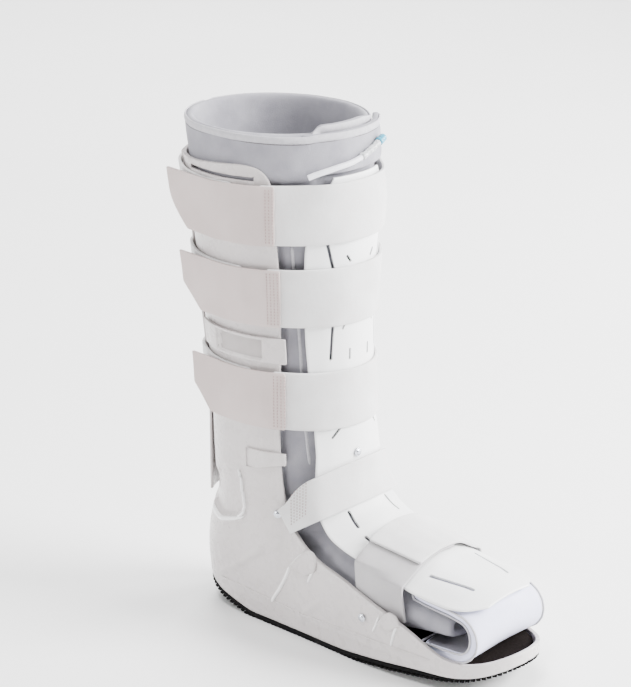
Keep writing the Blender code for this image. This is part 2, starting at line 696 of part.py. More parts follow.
def join_boolean(obj, other, operation):
    """Apply an exact boolean with a hidden helper."""
    other.hide_render = True
    other.display_type = "WIRE"
    step = obj.modifiers.new(operation.lower(), "BOOLEAN")
    step.operation = operation
    step.solver = "EXACT"
    step.object = other


def build_sole_pieces(rubber, brown):
    slab("outsole", 0.0006, rocker, lambda y: rocker(y) + sole_thickness(y) - GAP, rubber, PARTS)
    slab(
        "insole", SHELL_THICK + SOFT_CLEARANCE, lambda y: footbed(y) + 2.0 * GAP,
        lambda y: footbed(y) + 2.0 * GAP + INSOLE_THICK, brown, PARTS,
    )


def build_rear_plate(material):
    """Plate up the back, clear of the shell where the heel narrows."""
    inner = SHELL_THICK + SOFT_CLEARANCE + PLATE_CLEARANCE
    turns = np.radians(np.linspace(-PLATE_HALF_TURN, PLATE_HALF_TURN, 7))
    rows = []
    for height in np.linspace(PLATE_TOP * WING_HEIGHT, PLATE_FOOT * ANKLE_HEIGHT, 10):
        level = max(height, PLATE_HANG * RIM_HEIGHT)
        half_width = leg_value("half_width", level) + inner
        back, front = leg_value("back", level) + inner, leg_value("front", level) + inner
        centre, reach = (back - front) / 2.0, (back + front) / 2.0
        rows.append([(-half_width * math.sin(t), centre + reach * math.cos(t), height) for t in turns])
    return grid_wall("rear_plate", np.array(rows), PLATE_THICK, True, material, flip=True)


# Front panel

def panel_frame():
    """Middle line of the panel's outer face: points, outward directions, half widths and falls."""
    rows = [
        (-front * RIM_HALF_DEPTH - PANEL_THICK, height * RIM_HEIGHT, half_width, fall)
        for height, front, half_width, fall in SHIN_TABLE
    ]
    rows += [
        (float(along(place)), height * INSTEP_HEIGHT, half_width, fall)
        for place, height, half_width, fall in PANEL_TABLE
    ]
    rows = smooth_rows(rows, PANEL_ROWS)
    rows[:, 2:] *= PANEL_HALF_WIDTH
    line = np.stack([np.zeros(len(rows)), rows[:, 0], rows[:, 1]], axis=1)
    tangent = np.gradient(line, axis=0)
    tangent /= np.linalg.norm(tangent, axis=1)[:, None]
    outward = np.stack([np.zeros(len(rows)), tangent[:, 2], -tangent[:, 1]], axis=1)
    return line, outward, rows[:, 2], rows[:, 3]


def panel_grid(padding):
    """Outer face of the panel, moved out wherever its inner face would come too near the padding."""
    line, outward, half_width, fall = panel_frame()
    across = np.linspace(-1.0, 1.0, PANEL_SIDES)
    side = np.array([1.0, 0.0, 0.0])
    grid = line[:, None] + half_width[:, None, None] * across[None, :, None] * side
    grid = grid - outward[:, None] * (fall[:, None] * across[None, :] ** 2)[..., None]
    inner = raised(grid, PANEL_THICK)
    tree = tree_of(padding)
    lift = np.zeros(grid.shape[:2])
    shares = np.linspace(0.0, 1.0, 4)
    for r in range(PANEL_ROWS - 1):
        for c in range(PANEL_SIDES - 1):
            corners = inner[r:r + 2, c:c + 2]
            short = 0.0
            for u in shares:
                for v in shares:
                    ends = corners[0] * (1.0 - u) + corners[1] * u
                    point = ends[0] * (1.0 - v) + ends[1] * v
                    ahead = outward[r] * (1.0 - u) + outward[r + 1] * u
                    ahead /= np.linalg.norm(ahead)
                    met = tree.ray_cast((point + ahead * PROBE_REACH).tolist(), (-ahead).tolist())[0]
                    if met is not None:
                        short = max(short, PANEL_CLEARANCE - float((point - np.array(met)) @ ahead))
            lift[r:r + 2, c:c + 2] = np.maximum(lift[r:r + 2, c:c + 2], short)
    return grid + outward[:, None] * lift[..., None]


def build_panel(padding, material):
    grid = panel_grid(padding)
    panel = grid_wall("front_panel", grid, PANEL_THICK, False, material)
    for index, slot in enumerate(SLOT_TABLE):
        for side in (-1.0, 1.0):
            cut_slot(panel, grid, slot, side, index)
    return panel


def grid_place(grid, row, across):
    """A point on one row of a grid, at a place across it from -1 to 1."""
    columns = np.linspace(-1.0, 1.0, grid.shape[1])
    return np.array([np.interp(across, columns, grid[row, :, axis]) for axis in range(3)])


def cut_slot(panel, grid, slot, side, index):
    """Cut one slot square to the panel's face."""
    down, across, length, width, turn = slot
    row = int(round(down * (PANEL_ROWS - 1)))
    across *= side
    place = grid_place(grid, row, across)
    step = grid_place(grid, min(row + 1, PANEL_ROWS - 1), across) - grid_place(grid, row - 1, across)
    step /= np.linalg.norm(step)
    lateral = grid_place(grid, row, across + abs(across) / 4.0) - grid_place(grid, row, across - abs(across) / 4.0)
    lateral /= np.linalg.norm(lateral)
    lift = np.cross(step, lateral)
    angle = math.radians(turn) * -side
    run = step * math.cos(angle) + lateral * math.sin(angle)
    cross = np.cross(lift, run)
    corners = []
    for u in (-0.5, 0.5):
        for v in (-0.5, 0.5):
            for w in (-2.0, 2.0):
                corners.append(place + run * u * length + cross * v * width + lift * w * PANEL_THICK)
    cutter = link_mesh(f"slot_cutter_{index}_{'near' if side < 0 else 'far'}", corners, BOX_FACES, CUTTERS)
    fix_normals(cutter)
    join_boolean(panel, cutter, "DIFFERENCE")


def fix_normals(obj):
    """Turn the faces of a closed mesh outwards."""
    mesh = bmesh.new()
    mesh.from_mesh(obj.data)
    bmesh.ops.recalc_face_normals(mesh, faces=mesh.faces)
    mesh.to_mesh(obj.data)
    mesh.free()


# Flaps

def build_toe_flap(material):
    """Padded flap that runs under the toes, turns up at the front and lies back over them."""
    line, _, half_widths, falls = panel_frame()
    under = FOOTBED_HEIGHT + INSOLE_THICK + 5.0 * GAP
    bend_y = -FLAP_BEND * TOE_REACH
    front_reach = FLAP_NOSE * TOE_REACH
    places = np.linspace(-1.0, 1.0, 7)
    grid = []
    order = np.argsort(line[:, 1])

    def top_height(y, across):
        """Under side of the panel, read at a place along and across it."""
        ridge = np.interp(y, line[order, 1], line[order, 2])
        fall = np.interp(y, line[order, 1], (falls / half_widths ** 2)[order])
        return ridge - PANEL_THICK * 1.12 - SOFT_CLEARANCE - fall * (across * FLAP_HALF_WIDTH) ** 2

    for across in places:
        x = across * FLAP_HALF_WIDTH
        column = [(x, y, under) for y in np.linspace(-FLAP_LOW_START * TOE_REACH, bend_y, 3)[:-1]]
        top = top_height(bend_y, across)
        middle, half = (under + top) / 2.0, (top - under) / 2.0
        for turn in np.linspace(0.0, math.pi, 9):
            column.append((x, bend_y - front_reach * math.sin(turn), middle - half * math.cos(turn)))
        back = np.linspace(bend_y, -FLAP_HIGH_START * TOE_REACH, 5)[1:]
        column += [(x, y, top_height(y, across)) for y in back]
        grid.append(column)
    grid = np.array(grid).transpose(1, 0, 2)
    return grid_wall("toe_flap", grid, FLAP_THICK, False, material)


def build_collar_flap(padding, material):
    """Overlapping end of the liner's wrap at the front of the collar."""
    turns = np.radians(np.linspace(*COLLAR_FLAP_TURNS, 11))
    heights = np.linspace(COLLAR_FLAP_FOOT, 1.0, 3) * RIM_HEIGHT
    rows = []
    for height in heights:
        half_width = leg_value("half_width", height) + SOFT_CLEARANCE
        back, front = leg_value("back", height) + SOFT_CLEARANCE, leg_value("front", height) + SOFT_CLEARANCE
        centre, reach = (back - front) / 2.0, (back + front) / 2.0
        rows.append([(-half_width * math.sin(t), centre - reach * math.cos(t), height) for t in turns])
    return grid_wall("collar_flap", seat(np.array(rows), padding), COLLAR_FLAP_THICK, True, material)


# Straps

def build_leg_strap(name, height, seam, triangles, strap_finish, tab_finish):
    """A strap round the whole leg, open under its tab, and the sewn hook tab over the opening."""
    across, up = np.array([1.0, 0.0, 0.0]), np.array([0.0, -1.0, 0.0])
    centre = np.array([0.0, -0.03 * RIM_HALF_DEPTH, height])
    offsets = np.array([0.5, 0.0, -0.5]) * STRAP_WIDTH
    steps = int(round(360.0 / TURN_STEP))
    turns = np.radians(seam + TURN_STEP * (1.0 - np.arange(steps + 1)))
    ring = seat(band_grid(triangles, centre, across, up, offsets, turns, STRAP_CLEARANCE), triangles)
    grid_wall(name, ring[:, :steps + 1 - STRAP_SLIT_STEPS], STRAP_THICK, True, strap_finish)
    tab_columns = np.arange(1, 1 - TAB_STEPS - 1, -1) % steps
    tab = raised(ring, STRAP_THICK + TAB_CLEARANCE)[:, tab_columns]
    step = tab[:, -1] - tab[:, -2]
    step /= np.linalg.norm(step, axis=1)[:, None]
    ends = [tab[:, -1] + step * TAB_END_LENGTH * f for f in (0.25, 0.5, 0.75, 1.0)]
    tab = np.concatenate([tab] + [end_column[:, None] for end_column in ends], axis=1)
    count = tab.shape[1]
    trim = TAB_TRIM * np.interp(np.arange(count), (count - 3, count - 1), (0.0, 1.0))[:, None]
    low, middle, high = tab
    tab = np.array([low + (high - low) * trim, middle + (high - middle) * trim, high])
    grid_wall(name.replace("strap", "tab"), tab, TAB_THICK, True, tab_finish, flip=True)


def build_ankle_strap(triangles, padding, strap_finish):
    """Strap from the far wall over the ankle to its near tip, and the short strap under it on the padding."""
    tilt = math.radians(ANKLE_STRAP_TILT)
    up = np.array([0.0, -math.cos(tilt), math.sin(tilt)])
    across = np.array([1.0, 0.0, 0.0])
    centre = np.array([0.0, float(along(ANKLE_STRAP_ALONG)), ANKLE_STRAP_HEIGHT * ANKLE_HEIGHT])
    turns = np.radians(np.arange(ANKLE_STRAP_TURN, -ANKLE_STRAP_TURN - 1.1, -TURN_STEP))
    offsets = np.array([0.5, 0.0, -0.5]) * ANKLE_STRAP_WIDTH
    grid = seat(band_grid(triangles, centre, across, up, offsets, turns, STRAP_CLEARANCE), triangles)
    trim = ANKLE_STRAP_TRIM * (1.0 - smoothstep(0.0, 4.0, np.arange(len(turns))))[:, None]
    low, middle, high = grid
    grid = np.array([low, middle + (low - middle) * trim, high + (low - high) * trim])
    grid_wall("ankle_strap", grid, STRAP_THICK, True, strap_finish)
    turns = np.radians(np.arange(*ANCHOR_TURNS, -0.5 * TURN_STEP))
    offsets = np.array([0.5, 0.0, -0.5]) * ANCHOR_WIDTH + ANCHOR_AHEAD
    grid = seat(band_grid(padding, centre, across, up, offsets, turns, STRAP_CLEARANCE), padding)
    grid_wall("ankle_anchor", grid, TAB_THICK, True, strap_finish)


def build_toe_straps(triangles, strap_finish):
    """Band from inside the near wall over the crown, and the strap from the far wall that lies on it."""
    across, up = np.array([1.0, 0.0, 0.0]), np.array([0.0, 0.0, 1.0])
    centre = np.array([0.0, float(along(TOE_STRAP_ALONG)), TOE_STRAP_HEIGHT * ANKLE_HEIGHT])
    offsets = np.array([0.5, 0.0, -0.5]) * STRAP_WIDTH
    whole = np.arange(TOE_STRAP_TURN, -TOE_STRAP_TURN - 0.1, -TOE_TURN_STEP)
    ring = seat(band_grid(triangles, centre, across, up, offsets, np.radians(whole), STRAP_CLEARANCE), triangles)
    grid_wall("toe_strap_base", ring[:, whole > TOE_BASE_TURN], STRAP_THICK, True, strap_finish)
    lift = (STRAP_THICK + TAB_CLEARANCE) * smoothstep(*TOE_LIFT_TURNS, whole)
    grid = raised(ring, lift)[:, whole < TOE_UPPER_TURN]
    step = grid[:, 0] - grid[:, 1]
    step /= np.linalg.norm(step, axis=1)[:, None]
    tip = grid[:, 0] + step * TOE_TIP_LENGTH
    grid = np.concatenate([tip[:, None], grid], axis=1)
    grid_wall("toe_strap", grid, STRAP_THICK, True, strap_finish)


# Keepers, rivets and tube

def build_keeper(name, low, high, turns, side, shell, material):
    """A raised bar on a wing, whose front end stands past the wing's edge."""
    clearance = SHELL_THICK + SOFT_CLEARANCE + PLATE_CLEARANCE
    rows = []
    for height in (high, low):
        half_width = leg_value("half_width", height) + clearance
        back_reach, front_reach = leg_value("back", height) + clearance, leg_value("front", height) + clearance
        centre, reach = (back_reach - front_reach) / 2.0, (back_reach + front_reach) / 2.0
        row = []
        for turn in np.radians(np.linspace(*turns, 9)):
            row.append((side * half_width * math.sin(turn), centre + reach * math.cos(turn), height))
        rows.append(row)
    rows = np.array(rows) if side > 0 else np.array(rows)[:, ::-1]
    return grid_wall(name, seat(rows, shell), KEEPER_THICK, True, material)


def build_rivet(name, place, outward, material):
    """A low domed head standing on a face."""
    mesh = bmesh.new()
    bmesh.ops.create_uvsphere(mesh, u_segments=8, v_segments=6, radius=RIVET_RADIUS)
    low = [v for v in mesh.verts if v.co.z < -1e-6]
    bmesh.ops.delete(mesh, geom=low, context="VERTS")
    rim = [edge for edge in mesh.edges if edge.is_boundary]
    bmesh.ops.contextual_create(mesh, geom=rim)
    for vert in mesh.verts:
        vert.co.z *= RIVET_HEIGHT / RIVET_RADIUS
    bmesh.ops.recalc_face_normals(mesh, faces=mesh.faces)
    data = bpy.data.meshes.new(name)
    mesh.to_mesh(data)
    mesh.free()
    data.materials.append(material)
    data.shade_smooth()
    rivet = bpy.data.objects.new(name, data)
    PARTS.objects.link(rivet)
    direction = np.asarray(outward, dtype=float)
    direction /= np.linalg.norm(direction)
    rivet.rotation_mode = "QUATERNION"
    rivet.rotation_quaternion = Vector(direction).to_track_quat("Z", "Y")
    rivet.location = Vector(np.asarray(place, dtype=float) + direction * 1.5 * GAP)
    return rivet


def surface_hit(triangles, origin, direction):
    """Outermost place where a ray from outside meets triangles, and the face's normal."""
    direction = np.asarray(direction, dtype=float) / np.linalg.norm(direction)
    a, b, c = triangles[:, 0], triangles[:, 1], triangles[:, 2]
    e1, e2 = b - a, c - a
    h = np.cross(direction, e2)
    det = (e1 * h).sum(axis=1)
    safe = np.where(np.abs(det) < 1e-14, 1.0, det)
    s = np.asarray(origin, dtype=float) - a
    u = (s * h).sum(axis=1) / safe
    q = np.cross(s, e1)
    v = (q @ direction) / safe
    t = (e2 * q).sum(axis=1) / safe
    good = (np.abs(det) > 1e-14) & (u >= 0.0) & (v >= 0.0) & (u + v <= 1.0) & (t > 0.0)
    index = np.flatnonzero(good)[np.argmin(t[good])]
    normal = np.cross(e1[index], e2[index])
    normal /= np.linalg.norm(normal)
    if normal @ direction > 0.0:
        normal = -normal
    return np.asarray(origin) + direction * t[index], normal


def build_rivets(solids, material):
    """Rivets at the ankle and toe walls on both sides, and one on the panel."""
    for side, word in ((-1.0, "near"), (1.0, "far")):
        for place, share, height in RIVET_TABLE:
            origin = (side * PROBE_REACH, float(along(share)), height * ANKLE_HEIGHT)
            point, normal = surface_hit(solids["outside"], origin, (-side, 0.0, 0.0))
            build_rivet(f"rivet_{place}_{word}", point, normal, material)
    x, height = FRONT_RIVET
    origin = (x, -PROBE_REACH, height * INSTEP_HEIGHT)
    point, normal = surface_hit(solids["front_panel"], origin, (0.0, 1.0, 0.0))
    build_rivet("rivet_front", point, normal, material)


def build_tube(flap, clear, white, blue):
    """Inflation tube over the collar flap, with its connector and cap end to end."""
    tree = tree_of(flap)
    route = [(turn, height * RIM_HEIGHT) for turn, height in smooth_rows(TUBE_TABLE, TUBE_POINTS)]
    lift = SOFT_CLEARANCE + COLLAR_FLAP_THICK + 2.0 * TUBE_RADIUS
    nearest = min(tree.find_nearest(collar_point(turn, height, lift).tolist())[3] for turn, height in route)
    lift += TUBE_RADIUS + SEAT_GAP - nearest
    tube = [collar_point(turn, height, lift) for turn, height in route]
    tube_curve("air_tube", tube, TUBE_RADIUS, white)
    route = [(turn, height * RIM_HEIGHT) for turn, height in CONNECTOR_TABLE]
    onwards = [collar_point(turn, height, lift + CONNECTOR_RADIUS - TUBE_RADIUS) for turn, height in route]
    connector = follow_on(tube, collar_point(*route[0], lift + CONNECTOR_RADIUS - TUBE_RADIUS), 0.25) + onwards
    tube_curve("tube_connector", connector, CONNECTOR_RADIUS, clear)
    ahead = onwards[-1] - onwards[-2]
    ahead /= np.linalg.norm(ahead)
    tube_curve("tube_cap", [onwards[-1] + ahead * (GAP + CAP_LENGTH * f) for f in (0.0, 0.5, 1.0)], CAP_RADIUS, blue)


def follow_on(line, target, share):
    """Two points that carry a line straight on past a gap, part of the way to a target."""
    ahead = line[-1] - line[-2]
    ahead /= np.linalg.norm(ahead)
    length = np.linalg.norm(target - line[-1])
    return [line[-1] + ahead * GAP, line[-1] + ahead * share * length]


def collar_point(turn, height, lift):
    """A place round the front of the collar, lifted off the liner."""
    half_width = leg_value("half_width", height) + lift
    back, front = leg_value("back", height) + lift, leg_value("front", height) + lift
    centre, reach = (back - front) / 2.0, (back + front) / 2.0
    angle = math.radians(turn)
    return np.array([-half_width * math.sin(angle), centre - reach * math.cos(angle), height])


def tube_curve(name, points, radius, material):
    """A round tube along points with closed ends."""
    curve = bpy.data.curves.new(name, "CURVE")
    curve.dimensions = "3D"
    spline = curve.splines.new("POLY")
    spline.points.add(len(points) - 1)
    for target, point in zip(spline.points, points):
        target.co = (*point, 1.0)
    curve.bevel_depth = radius
    curve.bevel_resolution = 2
    curve.use_fill_caps = True
    curve.materials.append(material)
    obj = bpy.data.objects.new(name, curve)
    PARTS.objects.link(obj)
    return obj


def build_boot():
    white = new_material("moulded shell", (0.78, 0.77, 0.76), 0.35)
    sheet = new_material("flexible panel", (0.82, 0.82, 0.82), 0.38)
    lining = new_material("padded fabric", (0.62, 0.62, 0.67), 0.9)
    webbing = new_material("strap webbing", (0.80, 0.79, 0.78), 0.7)
    hook = new_material("hook tab", (0.74, 0.71, 0.70), 0.5)
    rubber = new_material("black rubber", (0.02, 0.02, 0.02), 0.75)
    brown = new_material("insole felt", (0.10, 0.07, 0.06), 0.9)
    chrome = new_material("bright metal", (0.8, 0.8, 0.82), 0.15, 1.0)
    clear = new_material("clear connector", (0.7, 0.7, 0.7), 0.2)
    blue = new_material("blue cap", (0.05, 0.30, 0.42), 0.35)

    build_liner(lining)
    build_shell(white)
    build_sole_pieces(rubber, brown)
    build_rear_plate(white)
    bpy.context.view_layer.update()
    build_panel(world_triangles(bpy.data.objects["liner"]), sheet)
    build_toe_flap(lining)
    bpy.context.view_layer.update()

    names = ("liner", "rear_shell", "rear_plate", "front_panel")
    solids = {name: world_triangles(bpy.data.objects[name]) for name in names}
    everything = np.concatenate(list(solids.values()))
    flap = build_collar_flap(solids["liner"], lining)
    for name, height, seam in (
        ("strap_top", STRAP_TOP_HEIGHT, 57.0),
        ("strap_middle", STRAP_MIDDLE_HEIGHT, 54.0),
        ("strap_low", STRAP_LOW_HEIGHT, 51.0),
    ):
        build_leg_strap(name, height, seam, everything, webbing, hook)
    padded = np.concatenate([solids["liner"], solids["front_panel"]])
    build_ankle_strap(everything, solids["liner"], webbing)
    build_toe_straps(padded, webbing)
    low_strap_foot, low_strap_top = STRAP_LOW_HEIGHT - STRAP_WIDTH / 2.0, STRAP_LOW_HEIGHT + STRAP_WIDTH / 2.0
    middle_strap_foot = STRAP_MIDDLE_HEIGHT - STRAP_WIDTH / 2.0
    side_low, side_high = (low_strap_top + s * (middle_strap_foot - low_strap_top) for s in SIDE_KEEPER_SHARES)
    low_low, low_high = (ANKLE_HEIGHT + s * (low_strap_foot - ANKLE_HEIGHT) for s in LOW_KEEPER_SHARES)
    shell = solids["rear_shell"]
    for side, word in ((-1.0, "near"), (1.0, "far")):
        build_keeper(f"side_keeper_{word}", side_low, side_high, SIDE_KEEPER_TURNS, side, shell, white)
        build_keeper(f"low_keeper_{word}", low_low, low_high, LOW_KEEPER_TURNS, side, shell, white)
    bpy.context.view_layer.update()
    solids["outside"] = np.concatenate(
        [everything] + [world_triangles(bpy.data.objects[name]) for name in ("ankle_strap", "ankle_anchor")])
    build_rivets(solids, chrome)
    build_tube(world_triangles(flap), clear, lining, blue)


for old in list(bpy.data.objects):
    bpy.data.objects.remove(old, do_unlink=True)
LEG_PROFILE = leg_profile()
PARTS = bpy.data.collections.new("walking_boot")
CUTTERS = bpy.data.collections.new("cutters")
bpy.context.scene.collection.children.link(PARTS)
bpy.context.scene.collection.children.link(CUTTERS)

build_boot()
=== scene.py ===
"""Looks of the walking boot: finishes, padding, stitching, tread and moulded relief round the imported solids.

Metres, +Z up, toe towards -Y, outer side of the foot at -X.
"""
import math

import bmesh
import bpy
import numpy as np
from mathutils import Matrix, Vector
from mathutils.bvhtree import BVHTree
from mathutils.kdtree import KDTree


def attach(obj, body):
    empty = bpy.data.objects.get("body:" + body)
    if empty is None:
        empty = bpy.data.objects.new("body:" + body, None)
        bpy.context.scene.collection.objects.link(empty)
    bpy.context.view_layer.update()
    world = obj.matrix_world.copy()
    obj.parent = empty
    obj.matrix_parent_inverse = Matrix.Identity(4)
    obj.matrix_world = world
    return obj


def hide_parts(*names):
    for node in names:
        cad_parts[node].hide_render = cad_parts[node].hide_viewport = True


# Camera, light and floor: each lamp's name, place, aim, width and power
CAMERA_PLACE = (-1.5094, -1.3121, 0.9112)
CAMERA_AIM = (-0.0326, -0.0600, 0.2620)
CAMERA_LENS = 129.39
CAMERA_SENSOR = 36.0
FLOOR_SIZE = 12.0
WORLD_STRENGTH = 0.6
MIDDLE = (0.0, -0.05, 0.2)
LAMPS = (
    ("front_lamp", (1.1, -2.1, 1.6), MIDDLE, 1.6, 300.0),
    ("top_lamp", (-0.9, -0.1, 2.4), MIDDLE, 0.7, 45.0),
    ("side_lamp", (2.3, -0.9, 0.8), MIDDLE, 1.2, 130.0),
    ("back_lamp", (-2.2, 1.7, 0.8), MIDDLE, 0.7, 55.0),
    ("far_lamp", (2.0, 1.8, 2.6), (2.0, 1.8, 0.0), 2.4, 220.0),
)

# Edges sharper than this keep a crease when a solid is refined
CREASE_ANGLE = math.radians(40.0)

# Measures shared with the solids, in metres
STRAP_WIDTH = 0.0500
STRAP_HEIGHTS = {"top": 0.3757, "middle": 0.3041, "low": 0.2140}
PANEL_HALF_WIDTH = 0.0500
PANEL_THICK = 0.0022

# Tread bars at the sole's edge
TREAD_SPACING = 0.0046
TREAD_DEPTH = 0.0040
TREAD_LENGTH = 0.0036
TREAD_HEIGHT = 0.0018
TREAD_INSET = 0.0019

# Collar wrap: turns from the front where it starts, has grown out of the liner and ends
WRAP_START = 38.0
WRAP_FADE = 105.0
WRAP_END = -46.0
BINDING_REACH = 0.0030
BINDING_HEIGHT = 0.0012

# Padding: hills on the liner and wrap, the liner's sink under the shell's edge, its raised corner,
# and the most that a pad is blown up
LINER_WAVES = 0.00035
WRAP_WAVES = 0.0003
LINER_SINK = 0.0026
CORNER_RISE = 0.0060
WRAP_PUFF = 0.0012
ROLL_PUFF = 0.0009
PUFF_FRAMES = 20
PUFF_PRESSURE = 4.0

# Binding between the wing and the front panel: turns from the front and heights
LINER_BINDING = (
    (45.5, 0.3480), (42.0, 0.3000), (39.5, 0.2600), (37.0, 0.2100), (35.5, 0.1840), (33.0, 0.1560),
)

# Stitches
STITCH_LENGTH = 0.0013
STITCH_RADIUS = 0.00040
STITCH_SPACING = 0.0026

# Routes of the inflation tube, its connector and its cap, with profiles as (share of length, radius)
TUBE_ROUTE = (
    (-0.04963, -0.06676, 0.40770), (-0.04724, -0.06844, 0.40865), (-0.04476, -0.07005, 0.40959),
    (-0.04188, -0.07180, 0.41049), (-0.03846, -0.07367, 0.41137), (-0.03499, -0.07537, 0.41219),
    (-0.03206, -0.07666, 0.41284), (-0.02938, -0.07772, 0.41339), (-0.02581, -0.07898, 0.41402),
    (-0.02079, -0.08044, 0.41474), (-0.01535, -0.08164, 0.41553), (-0.01063, -0.08235, 0.41639),
    (-0.00640, -0.08273, 0.41734), (-0.00221, -0.08288, 0.41829),
)
CONNECTOR_ROUTE = (
    (-0.00192, -0.08289, 0.41836), (0.00044, -0.08297, 0.41889), (0.00815, -0.08280, 0.42160),
    (0.01623, -0.08140, 0.42336), (0.02417, -0.07918, 0.42512),
)
CAP_ROUTE = ((0.02445, -0.07910, 0.42519), (0.02963, -0.07766, 0.42634), (0.03481, -0.07621, 0.42749))
TUBE_RADIUS = 0.0024
LATHE_SIDES = 24
CONNECTOR_PROFILE = (
    (0.00, 0.0016), (0.01, 0.0029), (0.03, 0.0032), (0.12, 0.0032), (0.15, 0.0029), (0.17, 0.0026),
    (0.36, 0.0025), (0.38, 0.0029), (0.44, 0.0029), (0.46, 0.0025), (0.52, 0.0025), (0.54, 0.0029),
    (0.60, 0.0029), (0.62, 0.0025), (0.80, 0.0025), (0.82, 0.0030), (0.97, 0.0030), (1.00, 0.0024),
)
CAP_PROFILE = (
    (0.00, 0.0026), (0.02, 0.0033), (0.12, 0.0035), (0.24, 0.0035), (0.28, 0.0031), (0.36, 0.0031),
    (0.40, 0.0035), (0.52, 0.0035), (0.56, 0.0031), (0.64, 0.0031), (0.68, 0.0034), (0.88, 0.0034),
    (0.96, 0.0028), (1.00, 0.0014),
)

# Front panel, outer face: place along the foot, height, half width and fall of its edges as shares
# of PANEL_HALF_WIDTH
PANEL_TABLE = (
    (-0.07951, 0.40532, 0.56, 0.120), (-0.07990, 0.38111, 0.84, 0.280), (-0.07938, 0.35020, 0.96, 0.450),
    (-0.07859, 0.30901, 0.94, 0.500), (-0.07807, 0.25750, 0.87, 0.480), (-0.07755, 0.21424, 0.82, 0.400),
    (-0.07938, 0.18747, 0.80, 0.340), (-0.08068, 0.16686, 0.82, 0.290), (-0.08094, 0.14935, 0.86, 0.280),
    (-0.08199, 0.13493, 0.90, 0.290), (-0.08695, 0.12257, 0.95, 0.300), (-0.09791, 0.11227, 1.00, 0.310),
    (-0.11306, 0.10609, 1.00, 0.310), (-0.13186, 0.10197, 1.00, 0.310), (-0.15196, 0.09682, 1.00, 0.310),
    (-0.18094, 0.09064, 1.02, 0.310), (-0.20000, 0.08755, 1.02, 0.290), (-0.21802, 0.08446, 1.02, 0.250),
    (-0.23107, 0.07983, 0.90, 0.170), (-0.24021, 0.07622, 0.56, 0.060),
)
PANEL_STEP = 0.0024
PANEL_COLUMNS = 45
PANEL_EDGE = 0.0011
PANEL_PROBE = 0.010

# Slots through the panel's near half and, mirrored, its far half: two ends and a width
PANEL_SLOTS = (
    ((-0.0345, -0.0735, 0.3540), (-0.0262, -0.0760, 0.3200), 0.0030),
    ((-0.0262, -0.0742, 0.2920), (-0.0280, -0.0728, 0.2500), 0.0028),
    ((-0.0160, -0.0805, 0.3375), (-0.0128, -0.0808, 0.3330), 0.0024),
    ((-0.0115, -0.0805, 0.2560), (-0.0115, -0.0805, 0.2480), 0.0022),
    ((-0.0172, -0.0783, 0.2790), (-0.0186, -0.0780, 0.2752), 0.0018),
    ((-0.0275, -0.0744, 0.1808), (-0.0213, -0.0775, 0.1880), 0.0022),
    ((-0.0062, -0.0809, 0.1900), (-0.0060, -0.0809, 0.1890), 0.0030),
    ((-0.0243, -0.0899, 0.1169), (-0.0269, -0.1019, 0.1074), 0.0032),
    ((-0.0301, -0.1132, 0.1024), (-0.0323, -0.1268, 0.0988), 0.0032),
    ((-0.0304, -0.1823, 0.0869), (-0.0232, -0.2199, 0.0828), 0.0034),
)

# Columns of ladder stitches on each hook tab: turns from the front in degrees
TAB_SEAMS = {"top": (56.6, 58.6, 60.6), "middle": (54.4, 56.6, 58.8, 61.0), "low": (50.4, 52.8, 55.2, 57.6)}

# Stitched corner of the ankle strap: its first and last column, each from top to bottom
ANKLE_SEAMS = (
    ((-0.0540, -0.0579, 0.1376), (-0.0560, -0.0595, 0.1115)),
    ((-0.0533, -0.0605, 0.1399), (-0.0550, -0.0652, 0.1128)),
)

# Soft ridges pressed into the shell's side walls: half width, height and route as (y, z)
SHELL_RIDGES = (
    (0.0065, 0.0020, ((-0.0183, 0.0734), (0.0047, 0.0564), (0.0317, 0.0367))),
    (0.0045, 0.0012, ((-0.0829, 0.0427), (-0.0599, 0.0220))),
)

# Crisp ribs moulded on the same walls: half width, height, whether pale with a painted highlight, and route as
# (y, z)
SHELL_RIBS = (
    (0.0011, 0.0016, True, ((-0.0478, 0.0640), (-0.0540, 0.0715), (-0.0620, 0.0795), (-0.0700, 0.0860))),
    (0.0016, 0.0016, True, ((-0.0470, 0.0640), (-0.0426, 0.0529), (-0.0358, 0.0407), (-0.0246, 0.0240))),
    (0.0013, 0.0014, True, ((-0.0800, 0.0775), (-0.0746, 0.0655), (-0.0693, 0.0559))),
    (0.0011, 0.0014, True, ((-0.1500, 0.0510), (-0.1457, 0.0396), (-0.1424, 0.0340))),
    (0.0012, 0.0014, True, ((-0.1690, 0.0505), (-0.1646, 0.0381), (-0.1620, 0.0267))),
    (0.0008, 0.0008, False, (
        (0.0362, 0.0304), (0.0208, 0.0305), (0.0035, 0.0300), (-0.0217, 0.0270), (-0.0478, 0.0240),
        (-0.0804, 0.0249), (-0.1140, 0.0260), (-0.1401, 0.0268), (-0.1620, 0.0270), (-0.1816, 0.0266),
        (-0.2004, 0.0255))),
)

# Lugs that stand up from the shell's top edge, as (y, z), and their thickness
SHELL_LUGS = (
    ((-0.0478, 0.0650), (-0.0540, 0.0720), (-0.0620, 0.0800), (-0.0690, 0.0868), (-0.0735, 0.0888),
     (-0.0790, 0.0872), (-0.0825, 0.0815), (-0.0800, 0.0700), (-0.0680, 0.0620)),
    ((-0.1480, 0.0440), (-0.1560, 0.0548), (-0.1615, 0.0582), (-0.1685, 0.0562), (-0.1725, 0.0485),
     (-0.1600, 0.0400)),
)
LUG_THICK = 0.0020

